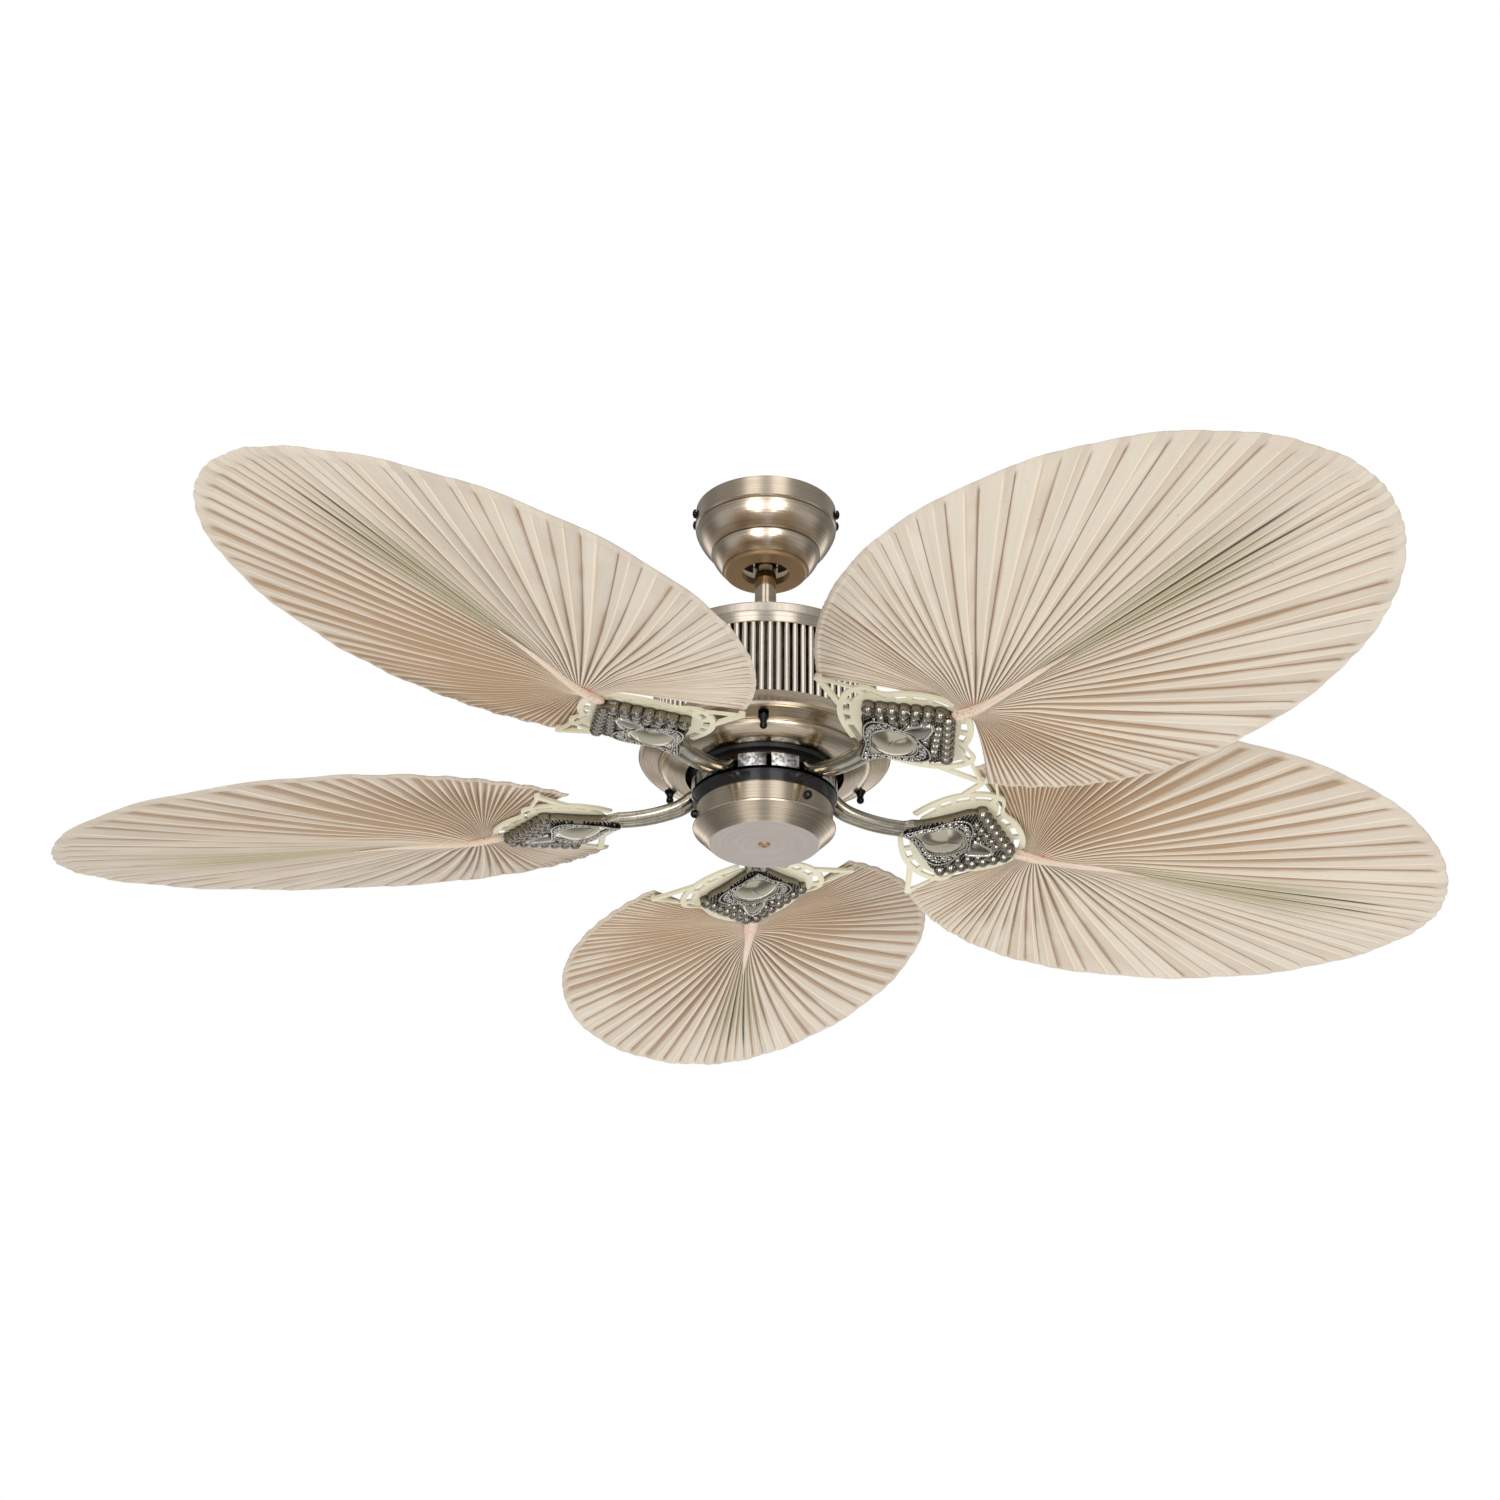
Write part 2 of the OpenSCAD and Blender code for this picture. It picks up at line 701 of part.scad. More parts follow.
module cap_plug() {
    color("peru")
        difference() {
            union() {
                rod_between(plug_r, cap_bot_z - 0.5, cap_bot_z + cap_t + 2);
                translate([0, 0, cap_bot_z])
                    mirror([0, 0, 1])
                        dome_head(plug_head_r, 1.6);
            }
            rod_between(1.8, cap_bot_z - 3, cap_bot_z - 0.6);
        }
}

// ---- Turning with the blades ----

module at_bolts() {
    ring_of(4, bolt_pcr, 45)
        children();
}

module rotor_upper() {
    in_r = shell_r - rotor_wall;
    lip_r = shaft_r + 2;
    seat_r = bearing_r + fit_clear;
    color("darkgray")
        difference() {
            rotate_extrude()
                polygon([[lip_r, rotor_top_z], [shell_r - 5, rotor_top_z], [shell_r, rotor_top_z - 5],
                    [shell_r, stack_mid_z], [in_r, stack_mid_z], [in_r, rotor_top_z - 6],
                    [in_r - 3, rotor_top_z - rotor_wall],
                    [seat_r + 4, rotor_top_z - rotor_wall],
                    [seat_r + 4, upper_bearing_z - bearing_h],
                    [seat_r, upper_bearing_z - bearing_h], [seat_r, upper_bearing_z],
                    [lip_r, upper_bearing_z]]);
            at_bolts()
                rod_between(bolt_r + pin_clear, rotor_top_z - 20, rotor_top_z + 1);
        }
}

module rotor_lower() {
    in_r = shell_r - rotor_wall;
    lip_r = shaft_r + 2;
    seat_r = bearing_r + fit_clear;
    shoulder_z = rotor_floor_z + 12;
    color("darkslategray")
        difference() {
            rotate_extrude()
                polygon([[lip_r, hub_bot_z], [hub_r - 0.8, hub_bot_z], [hub_r, hub_bot_z + 0.8],
                    [hub_r, hub_bot_z + 7], [hub_r + 4, rotor_floor_z - 2], [shell_r, shoulder_z],
                    [shell_r, stack_mid_z], [in_r, stack_mid_z], [in_r, shoulder_z + 1],
                    [hub_r, rotor_floor_z], [seat_r + 4, rotor_floor_z],
                    [seat_r + 4, lower_bearing_z], [seat_r, lower_bearing_z],
                    [seat_r, lower_bearing_z - bearing_h], [lip_r, lower_bearing_z - bearing_h]]);
            at_bolts()
                rod_between(bolt_r + pin_clear, bolt_bot_z - 0.5, stack_mid_z);
            for (k = [0 : blade_count - 1])
                at_arm_screws(k)
                    rod_between(arm_screw_r + pin_clear, hub_bot_z - 1, hub_bot_z + arm_screw_in + 1);
        }
}

module rotor_ring() {
    color("gray")
        difference() {
            tube(shell_r - rotor_wall - fit_clear, stator_r + air_gap,
                stack_mid_z - stack_h / 2 - 2, stack_mid_z + stack_h / 2 + 2);
            at_bolts()
                rod_between(bolt_r + pin_clear, stack_mid_z - stack_h, stack_mid_z + stack_h);
        }
}

module bearing(top_z) {
    color("silver")
        tube(bearing_r, shaft_r + running_clear, top_z - bearing_h, top_z);
}

module upper_bearing() {
    bearing(upper_bearing_z);
}

module lower_bearing() {
    bearing(lower_bearing_z);
}

module rotor_bolts() {
    color("silver")
        at_bolts() {
            rod_between(bolt_r, bolt_bot_z, rotor_top_z + eps);
            translate([0, 0, rotor_top_z])
                dome_head(bolt_r + 1.7, 2.6);
        }
}

module at_arm_screws(k) {
    rotate([0, 0, blade_turn + 360 / blade_count * k])
        for (a = [-pad_a, pad_a])
            rotate([0, 0, a])
                translate([arm_screw_pcr, 0, 0])
                    children();
}

module arm_screws() {
    color("dimgray")
        for (k = [0 : blade_count - 1])
            at_arm_screws(k) {
                rod_between(arm_screw_r, pad_bot_z - eps, hub_bot_z + arm_screw_in);
                translate([0, 0, pad_bot_z])
                    mirror([0, 0, 1])
                        dome_head(arm_screw_r + arm_head_out, arm_head_h);
            }
}

// Bracket outlines in the blade's frame: +X outwards, +Y counter-clockwise
cast_half = [[-21, 0], [-24, 8], [-33, 17], [-45, 30], [-55, 40], [-66, 43.5], [-76, 40],
    [-85, 31], [-98, 19], [-108, 11], [-116, 7]];
shield_half = [[-57, 0], [-61, 12], [-64, 24], [-72, 33], [-82, 32], [-92, 24], [-101, 13],
    [-110, 7], [-119, 0]];
boss_half = [[-61, 0], [-66, 10], [-72, 17], [-80, 20], [-89, 17], [-99, 8], [-109, 0]];
crest_half = [[-35, 0], [-42, 5], [-51, 9], [-54, 0]];
ring_half = [[-6, 0], [-7.5, 10], [-12, 20], [-20, 30], [-29, 38], [-37, 42.5], [-43, 45.5],
    [-47, 50.5], [-49, 58], [-53, 64], [-60, 66.5], [-70, 66], [-81, 62], [-92, 55],
    [-102, 45], [-110, 33], [-115, 23], [-118, 16]];
ring_w = 5;
ring_gap = 5.5;
tab_turns = [0, 24, 47, 69, 90, 109, 126, 142];
struts = [[[-60, 65], 2.4], [[-88, 56], 5]];

// The ring's inner edge is its outer edge drawn in towards the plate's middle
plate_mid = [-60, 0];
function drawn_in(points, w) = [for (p = points) let (d = p - plate_mid) p - d / norm(d) * w];
// Open smooth curve through the same kind of points
function smooth_open(points, steps) = let (n = len(points) - 1) concat(
    [for (i = [0 : n - 1], j = [0 : steps - 1]) curve_point(
        i == 0 ? [points[1].x, -points[1].y] : points[i - 1],
        points[i], points[i + 1], points[min(i + 2, n)], j / steps)], [points[n]]);

module bead_row(count, from, to, r, h) {
    for (i = [0 : count - 1], side = [-1, 1]) {
        p = from + (to - from) * i / (count - 1);
        translate([p.x, side * p.y, h])
            sphere(r = r, $fn = 48);
    }
}

module casting() {
    low = -plate_t - cast_t;
    translate([0, 0, low])
        linear_extrude(cast_t)
            polygon(smooth(both_halves(cast_half), 4));
    bead_row(7, [-21, 5], [-65, 44], 4.9, low + 0.6);
    bead_row(5, [-35, 8], [-64, 30], 3.6, low - 0.4);
    translate([0, 0, low - 2.5])
        linear_extrude(2.5 + eps)
            polygon(smooth(both_halves(shield_half), 4));
    translate([0, 0, low - 2])
        linear_extrude(2 + eps)
            polygon(smooth(both_halves(crest_half), 3));
    intersection() {
        translate([0, 0, low - 9])
            linear_extrude(9)
                polygon(smooth(both_halves(boss_half), 4));
        translate([-83, 0, low + 26])
            sphere(r = 34);
    }
}

// Section of the arm: two round ridges joined by a web, thickness along X
// Each stretch is a hair thinner than the one that it ends inside
module arm_section(less = 0) {
    for (side = [-1, 1])
        translate([0, side * ridge_off])
            circle(r = ridge_r - less);
    square([(ridge_r - less) * 1.3, 2 * ridge_off], center = true);
}

// Arc of the arm in the plane of its length and height, about the centre [x, z]
module arm_bend(at, r, from_a, to_a, less = 0) {
    translate([at.x, 0, at.y])
        rotate([90, 0, 0])
            rotate([0, 0, from_a])
                rotate_extrude(angle = to_a - from_a)
                    translate([r, 0])
                        arm_section(less);
}

// The arm drops from the flange, hooks back and sweeps out under the blade
function down(a, r) = r * [sin(a), cos(a)];
drop_at = [arm_start_r, arm_z - bend_r];
hook_at = drop_at + down(bend_a, bend_r + hook_r);
sweep_at = hook_at + down(hook_end_a, sweep_r - hook_r);
arm_end = sweep_at - down(-arm_end_a, sweep_r);

module arm_flange() {
    module sector(r_in, r_out, a_from, a_to, z_bot, z_top) {
        rotate([0, 0, a_from])
            rotate_extrude(angle = a_to - a_from)
                translate([r_in, z_bot])
                    square([r_out - r_in, z_top - z_bot]);
    }
    sector(flange_in_r, flange_r, -flange_half_a, flange_half_a, flange_bot_z, hub_bot_z);
    for (a = [-pad_a, pad_a])
        sector(arm_screw_pcr - 7, flange_r - 0.1, a - pad_half_a, a + pad_half_a, pad_bot_z,
            flange_bot_z + 1);
}

module blade_arm(k) {
    color("darkkhaki") {
        rotate([0, 0, blade_turn + 360 / blade_count * k])
            difference() {
                union() {
                    arm_flange();
                    translate([flange_in_r + 8, 0, arm_z])
                        rotate([0, 90, 0])
                            linear_extrude(arm_start_r - flange_in_r - 8 + arm_lap)
                                arm_section(0.05);
                    arm_bend(drop_at, bend_r, 90 - bend_a, 90);
                    arm_bend(hook_at, hook_r, 269 - bend_a, 270 - hook_end_a, 0.05);
                    arm_bend(sweep_at, sweep_r, 269.8 - hook_end_a, 270 + arm_end_a, 0.1);
                }
                translate([0, 0, hub_bot_z])
                    cylinder(r = flange_r + 5, h = 20);
                for (a = [-pad_a, pad_a])
                    rotate([0, 0, a])
                        translate([arm_screw_pcr, 0, 0])
                            rod_between(arm_screw_r + pin_clear, pad_bot_z - 1, hub_bot_z + 1);
            }
        hull() {
            rotate([0, 0, blade_turn + 360 / blade_count * k])
                translate([arm_end.x - 1, 0, arm_end.y])
                    rotate([0, 90, 0])
                        for (side = [-1, 1])
                            translate([0, side * ridge_off, 0])
                                cylinder(r = ridge_r, h = 1, $fn = 32);
            at_blade(k)
                translate([-108, 0, -plate_t - cast_t / 2])
                    cube([2, 20, cast_t - 0.4], center = true);
        }
        at_blade(k)
            difference() {
                casting();
                for (p = plate_screw_at)
                    translate([p.x, p.y, -plate_t - cast_t + 1])
                        cylinder(r = plate_screw_r + pin_clear, h = cast_t);
            }
    }
}

// The strut's foot lies under the leaf's base lobe
strut_to = [leaf_lobe_s, 91];

module plate_shape() {
    outer = smooth_open(ring_half, 3);
    inner = drawn_in(outer, ring_w);
    middle = drawn_in(outer, ring_w + ring_gap);
    difference() {
        union() {
            polygon(both_halves(middle));
            for (side = [-1, 1])
                mirror([0, side < 0 ? 1 : 0]) {
                    polygon(concat(outer, [for (i = [len(inner) - 1 : -1 : 0]) inner[i]]));
                    for (strut = struts) {
                        d = strut_to - strut[0];
                        n = [-d.y, d.x] / norm(d) * strut[1] / 2;
                        polygon([strut[0] - n, strut_to - n, strut_to + n, strut[0] + n]);
                    }
                    translate(strut_to)
                        circle(r = 3);
                    intersection() {
                        for (a = tab_turns)
                            translate(plate_mid)
                                rotate(a)
                                    translate([20, -2.5])
                                        square([60, 5]);
                        polygon(concat([plate_mid], outer));
                    }
                }
        }
        for (p = plate_screw_at)
            translate(p)
                circle(r = plate_screw_r + pin_clear);
    }
}

module blade_plate(k) {
    color("lemonchiffon")
        at_blade(k)
            translate([0, 0, -plate_t]) {
                linear_extrude(plate_t)
                    plate_shape();
                for (side = [-1, 1])
                    translate([strut_to.x, side * strut_to.y, 0])
                        cylinder(r = 2.9, h = plate_t + leaf_height(strut_to) - rim_t / 2 - 0.3);
            }
}

module plate_screws() {
    color("dimgray")
        for (k = [0 : blade_count - 1])
            at_blade(k)
                for (p = plate_screw_at)
                    translate([p.x, p.y, 0]) {
                        rod_between(plate_screw_r, -plate_t - cast_t + 1.2, eps);
                        dome_head(plate_screw_r + 1.6, 2.4);
                    }
}

// Point of the leaf's outline at turn a: 0 is the tip and leaf_turn_max the base lobe
function leaf_rim(a) = abs(a) < 90
    ? [leaf_mid_s + (leaf_len - leaf_mid_s) * cos(a),
       leaf_half_w * sign(a) * pow(abs(sin(a)), leaf_tip_power)]
    : [leaf_mid_s + leaf_back_len * cos(a), leaf_half_w * sin(a)];
// Pleats leave the petiole sideways and bend towards the tip or the base lobe
function leaf_at(a, q) = let (rim = leaf_rim(a))
    [rim.x * pow(q, 1 + 0.32 * abs(sin(a))), rim.y * q];
// Height of the leaf's middle surface: its tip and its sides curl up
function leaf_height(p) = leaf_lift + 0.0327 * p.x + 24.3 * pow(p.x / 331.5, 2)
    - 5.7 * pow(p.x / 331.5, 3) + 10 * pow(p.y / 165.8, 2);
// Pleats fade out at the petiole and at the rim
function pleat_at(i, q) = (i % 2 == 0 ? 1 : -1) * pleat_depth / 2 * sqrt(max(0, 4 * q * (1 - q)));
function leaf_thick(j) = j < rim_from ? leaf_t : j == rim_from ? rim_t : rim_t / 2;
function two_faces(a, b, c, d) = [[a, b, c], [a, c, d]];

module leaf(k) {
    steps = 2 * pleats;
    rings = len(leaf_rings);
    function turn(i) = leaf_turn_max * (2 * i / steps - 1);
    function skin(side) = [for (i = [0 : steps], j = [0 : rings - 1])
        let (q = leaf_rings[j], p = leaf_at(turn(i), q))
        [p.x, p.y, leaf_height(p) + (j < rim_from ? pleat_at(i, q) : 0) + side * leaf_thick(j) / 2]];
    function centre(side) = [[0, 0, leaf_height([0, 0]) + side * leaf_t / 2]];
    low = (steps + 1) * rings;
    top_c = 2 * low;
    bot_c = top_c + 1;
    last = rings - 1;
    function at(i, j) = i * rings + j;
    faces = concat(
        [for (i = [0 : steps - 1], j = [0 : last - 1])
            each two_faces(at(i, j), at(i + 1, j), at(i + 1, j + 1), at(i, j + 1))],
        [for (i = [0 : steps - 1], j = [0 : last - 1])
            each two_faces(low + at(i, j), low + at(i, j + 1), low + at(i + 1, j + 1),
                low + at(i + 1, j))],
        [for (i = [0 : steps - 1])
            each two_faces(at(i, last), at(i + 1, last), low + at(i + 1, last), low + at(i, last))],
        [for (i = [0 : steps - 1]) [top_c, at(i + 1, 0), at(i, 0)]],
        [for (i = [0 : steps - 1]) [bot_c, low + at(i, 0), low + at(i + 1, 0)]],
        [for (j = [0 : last - 1])
            each two_faces(at(0, j), at(0, j + 1), low + at(0, j + 1), low + at(0, j))],
        [for (j = [0 : last - 1])
            each two_faces(at(steps, j + 1), at(steps, j), low + at(steps, j),
                low + at(steps, j + 1))],
        two_faces(top_c, at(0, 0), low + at(0, 0), bot_c),
        two_faces(top_c, bot_c, low + at(steps, 0), at(steps, 0)));
    color("blanchedalmond")
        at_blade(k) {
            polyhedron(concat(skin(1), skin(-1), centre(1), centre(-1)), faces);
            translate([-petiole_len, -petiole_w / 2, 0])
                cube([petiole_len + 1, petiole_w, leaf_lift + 0.5]);
        }
}

ceiling_bracket();
terminal_block();
canopy();
canopy_ring();
canopy_screws();
hanger_ball();
ball_pin();
downrod();
coupling_cover();
yoke();
clevis_pin();
clevis_clip();
yoke_screws();
housing_screws();
housing_top();
rib_drum();
rib_bars();
lower_band();
bowl();
bowl_screws();
motor_shaft();
stator_core();
stator_windings();
switch_plate();
shaft_nut();
capacitor();
bottom_cap();
cap_screws();
cap_plug();
rotor_upper();
rotor_lower();
rotor_ring();
upper_bearing();
lower_bearing();
rotor_bolts();
arm_screws();
plate_screws();
blade_arm(0);  // blade_arm_1
blade_arm(1);  // blade_arm_2
blade_arm(2);  // blade_arm_3
blade_arm(3);  // blade_arm_4
blade_arm(4);  // blade_arm_5
blade_plate(0);  // blade_plate_1
blade_plate(1);  // blade_plate_2
blade_plate(2);  // blade_plate_3
blade_plate(3);  // blade_plate_4
blade_plate(4);  // blade_plate_5
leaf(0);  // leaf_1
leaf(1);  // leaf_2
leaf(2);  // leaf_3
leaf(3);  // leaf_4
leaf(4);  // leaf_5
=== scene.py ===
import bpy
import bmesh
import json
import math
import numpy as np
from mathutils import Matrix, Vector


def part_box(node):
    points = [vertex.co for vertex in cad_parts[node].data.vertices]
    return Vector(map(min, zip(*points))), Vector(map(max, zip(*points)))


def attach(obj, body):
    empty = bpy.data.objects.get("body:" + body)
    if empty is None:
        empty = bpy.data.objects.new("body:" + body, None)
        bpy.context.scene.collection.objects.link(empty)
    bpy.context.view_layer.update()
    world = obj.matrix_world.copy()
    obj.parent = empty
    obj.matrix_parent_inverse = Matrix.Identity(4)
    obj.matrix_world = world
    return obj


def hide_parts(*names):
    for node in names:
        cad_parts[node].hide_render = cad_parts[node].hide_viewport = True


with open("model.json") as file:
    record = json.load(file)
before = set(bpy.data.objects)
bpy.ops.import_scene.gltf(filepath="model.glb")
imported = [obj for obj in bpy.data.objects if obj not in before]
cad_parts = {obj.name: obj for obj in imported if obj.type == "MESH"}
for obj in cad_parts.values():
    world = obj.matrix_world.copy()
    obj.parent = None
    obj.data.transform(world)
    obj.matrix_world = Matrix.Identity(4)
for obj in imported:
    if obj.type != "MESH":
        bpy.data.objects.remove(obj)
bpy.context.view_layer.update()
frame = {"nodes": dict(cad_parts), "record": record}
nodes = frame["nodes"]
bladeCount = 5
mm = 0.001
print("frame loaded:", len(nodes), "nodes")


# A number socket of a shader: sums written on it add Math nodes
class Wire:
    def __init__(self, net, socket):
        self.net, self.socket = net, socket

    def math(self, operation, *others):
        return self.net.add("ShaderNodeMath", {"operation": operation}, [self, *others])

    def under(self, operation, other):
        return self.net.add("ShaderNodeMath", {"operation": operation}, [other, self])

    def __add__(self, other): return self.math("ADD", other)
    def __radd__(self, other): return self.math("ADD", other)
    def __sub__(self, other): return self.math("SUBTRACT", other)
    def __rsub__(self, other): return self.under("SUBTRACT", other)
    def __mul__(self, other): return self.math("MULTIPLY", other)
    def __rmul__(self, other): return self.math("MULTIPLY", other)
    def __truediv__(self, other): return self.math("DIVIDE", other)
    def __rtruediv__(self, other): return self.under("DIVIDE", other)
    def __abs__(self): return self.math("ABSOLUTE")


# The node tree of one material, or of the world
class Net:
    def __init__(self, tree):
        self.tree = tree
        self.spot = 0

    def add(self, kind, settings=None, inputs=None, out=0):
        node = self.tree.nodes.new(kind)
        self.spot += 1
        node.location = (180 * (self.spot % 12) - 2400, -220 * (self.spot // 12))
        for name, value in (settings or {}).items():
            if name == "stops":
                ramp = node.color_ramp
                while len(ramp.elements) < len(value):
                    ramp.elements.new(0.5)
                for element, (place, grey) in zip(ramp.elements, value):
                    element.position = place
                    element.color = (grey, grey, grey, 1)
            else:
                setattr(node, name, value)
        pairs = enumerate(inputs) if isinstance(inputs, (list, tuple)) else (inputs or {}).items()
        for name, value in pairs:
            self.plug(node.inputs[name], value)
        return Wire(self, node.outputs[out])

    def plug(self, socket, value):
        if isinstance(value, Wire):
            self.tree.links.new(value.socket, socket)
        elif isinstance(value, (tuple, list)):
            socket.default_value = (*value, 1) if socket.type == "RGBA" else value
        else:
            socket.default_value = value

    def place(self):
        return self.add("ShaderNodeTexCoord", out="Object")

    def fact(self, name):
        return self.add("ShaderNodeAttribute", {"attribute_name": name}, out="Fac")

    def parts(self, vector):
        split = self.add("ShaderNodeSeparateXYZ", None, [vector])
        return [Wire(self, socket) for socket in split.socket.node.outputs]

    def joined(self, x, y, z=0.0):
        return self.add("ShaderNodeCombineXYZ", None, [x, y, z])

    def noise(self, where, scale, detail=3.0, roughness=0.55):
        return self.add("ShaderNodeTexNoise", None,
                        {"Vector": where, "Scale": scale, "Detail": detail, "Roughness": roughness}, "Fac")

    def chance(self, x, y):
        return self.add("ShaderNodeTexWhiteNoise", {"noise_dimensions": "2D"},
                        {"Vector": self.joined(x, y)}, "Value")

    def blend(self, share, a, b):
        return self.add("ShaderNodeMix", {"data_type": "RGBA", "clamp_factor": True},
                        {"Factor": share, 6: a, 7: b}, 2)

    # 0 below low and 1 above high, with a smooth step between, or the other way where low > high
    def span(self, value, low, high, toLow=0.0, toHigh=1.0):
        return self.add("ShaderNodeMapRange", {"clamp": True, "interpolation_type": "SMOOTHSTEP"},
                        [value, low, high, toLow, toHigh])

    def bump(self, height, strength, distance=0.001):
        return self.add("ShaderNodeBump", None,
                        {"Height": height, "Strength": strength, "Distance": distance})


# A material: make(net) gives the sockets that vary, and fixed gives the constants
def finish(name, make, **fixed):
    material = bpy.data.materials.new(name)
    material.use_nodes = True
    net = Net(material.node_tree)
    surface = material.node_tree.nodes["Principled BSDF"]
    for socket, value in {**make(net), **fixed}.items():
        net.plug(surface.inputs[socket], value)
    return material


spun = {
    "ring": 1300.0, "fineRing": 4200.0,       # lines to the metre round the axis
    "streak": 210.0, "fineStreak": 900.0,     # lines to the radian along it
    "streakDull": 0.14, "edge": 0.0002,       # added roughness and soft edge of a streaked band
    "cloud": 9.0, "tone": (0.38, 0.62), "fineDull": 0.14, "cloudDull": 0.06, "relief": 0.035,
    "discLight": (0.66, 0.585, 0.525), "discDark": (0.58, 0.515, 0.46),
    # groove shade: colour, edge and share of the painted shade in the grooves
    "grooveShade": (0.05, 0.04, 0.03), "grooveEdge": (0.0011, 0.0004), "grooveShare": 0.8,
}


# Spun metal: fine lines run round the Z axis, or along it on the streaked bands between two
# heights; painted shade lies in the grooves, given as heights, tarnish in faint broad patches, and the
# flat end below the height disc is paler
def spunMetal(light, dark, rough, relief=1.0, streaked=(), grooves=(), disc=None):
    def make(net):
        x, y, z = net.parts(net.place())
        around = y.math("ARCTAN2", x)
        radius = (x * x + y * y).math("SQRT")
        dull = rough
        ringed = net.noise(net.joined(around * 0.7, z * spun["ring"], radius * spun["ring"]), 1.0, 3.0)
        fine = net.noise(net.joined(around * 1.5, z * spun["fineRing"], radius * spun["fineRing"]), 1.0, 1.0)
        for low, high in streaked:
            inside = net.span(z, low - spun["edge"], low) * net.span(z, high + spun["edge"], high)
            along = net.noise(net.joined(around * spun["streak"], z * 9.0, radius * 9.0), 1.0, 3.0)
            thin = net.noise(net.joined(around * spun["fineStreak"], z * 20.0, 0.0), 1.0, 1.0)
            ringed = ringed + (along - ringed) * inside
            fine = fine + (thin - fine) * inside
            dull = dull + inside * spun["streakDull"]
        cloud = net.noise(net.joined(x, y, z), spun["cloud"], 3.0)
        tone = net.span(cloud * 0.5 + ringed * 0.5, *spun["tone"])
        colour = net.blend(tone, dark, light)
        if disc is not None:
            pale = net.blend(tone, spun["discDark"], spun["discLight"])
            colour = net.blend(net.span(z, disc + spun["edge"], disc), colour, pale)
        # Painted shade: a dark line at each groove's height
        for height in grooves:
            line = net.span(abs(z - height), *spun["grooveEdge"])
            colour = net.blend(line * spun["grooveShare"], colour, spun["grooveShade"])
        return {
            "Base Color": colour,
            "Roughness": dull + (fine - 0.5) * spun["fineDull"] + (cloud - 0.5) * spun["cloudDull"],
            "Normal": net.bump(ringed * 0.6 + fine * 0.4, spun["relief"] * relief, 0.0006),
        }
    return make


# Plain metal, enamel or plastic with faint mottling and tool marks
def plainCoat(light, dark, rough=0.3, scale=60.0, relief=0.05):
    def make(net):
        at = net.place()
        cloud = net.noise(at, scale, 4.0, 0.6)
        speck = net.noise(at, scale * 12.0, 2.0)
        return {
            "Base Color": net.blend(net.span(cloud, 0.3, 0.7), dark, light),
            "Roughness": rough + (cloud - 0.5) * 0.2 + (speck - 0.5) * 0.1,
            "Normal": net.bump(speck, relief, 0.0004),
        }
    return make


arms = {
    "hollow": (0.32, 0.29, 0.225), "rubbed": (0.50, 0.455, 0.365),
    "worn": (0.20, 0.195, 0.185), "silver": (0.82, 0.81, 0.79), "hubCoat": (0.05, 0.043, 0.036),
    "streak": 160.0, "cloud": 30.0, "patch": 150.0, "rough": 0.19,
    "hubRadius": 0.0640, "hubEdge": 0.0008, "hubFace": -0.2782, "faceEdge": 0.0006,   # metres
    "firstArm": 51 / 72,                      # the first arm's angle in steps of one blade
    "padHalf": 0.168, "padEdge": 0.008,       # where a pad ends, counted in the same steps
}


# Arms: aged bronze, dark and rubbed bright in patches and streaks along the arm, with
# silvery worn pads under the hub and a black coat on the hub's own face
def agedBronze(net):
    at = net.place()
    x, y, z = net.parts(at)
    around = y.math("ARCTAN2", x)
    radius = (x * x + y * y).math("SQRT")
    scale = arms["streak"]
    streak = net.noise(net.joined(around * radius * scale, z * scale, radius * 9.0), 1.0, 2.0)
    cloud = net.noise(at, arms["cloud"], 3.0)
    speck = net.noise(at, 900.0, 2.0)
    rubbed = net.span(streak * 0.4 + cloud * 0.6, 0.38, 0.60)
    bronze = net.blend(rubbed, arms["hollow"], arms["rubbed"])
    inside = net.span(radius, arms["hubRadius"], arms["hubRadius"] - arms["hubEdge"])
    steps = around * (bladeCount / (2 * math.pi)) + arms["firstArm"] + 0.5
    spoke = abs(steps.math("FRACT") - 0.5)
    padFrom = arms["padHalf"] - arms["padEdge"]
    pad = inside * net.span(spoke, padFrom, arms["padHalf"])
    between = net.span(spoke, arms["padHalf"], padFrom)
    hub = inside * between * net.span(z, arms["hubFace"], arms["hubFace"] + arms["faceEdge"])
    patch = net.span(net.noise(at, arms["patch"], 4.0, 0.7), 0.40, 0.62)
    silver = net.blend(patch, arms["worn"], arms["silver"])
    return {
        "Base Color": net.blend(hub, net.blend(pad, bronze, silver), arms["hubCoat"]),
        "Roughness": arms["rough"] + (1.0 - rubbed) * 0.06 + (speck - 0.5) * 0.05,
        "Normal": net.bump(speck, 0.03, 0.0004),
    }


casting = {"patina": (0.010, 0.010, 0.010), "dull": (0.22, 0.197, 0.16), "bronze": (0.40, 0.362, 0.30),
           "silver": (0.82, 0.79, 0.73), "boss": (0.56, 0.515, 0.40),
           "patinaEdge": (0.06, 0.34), "silverEdge": (0.55, 0.82), "uneven": 0.2, "rough": 0.15}


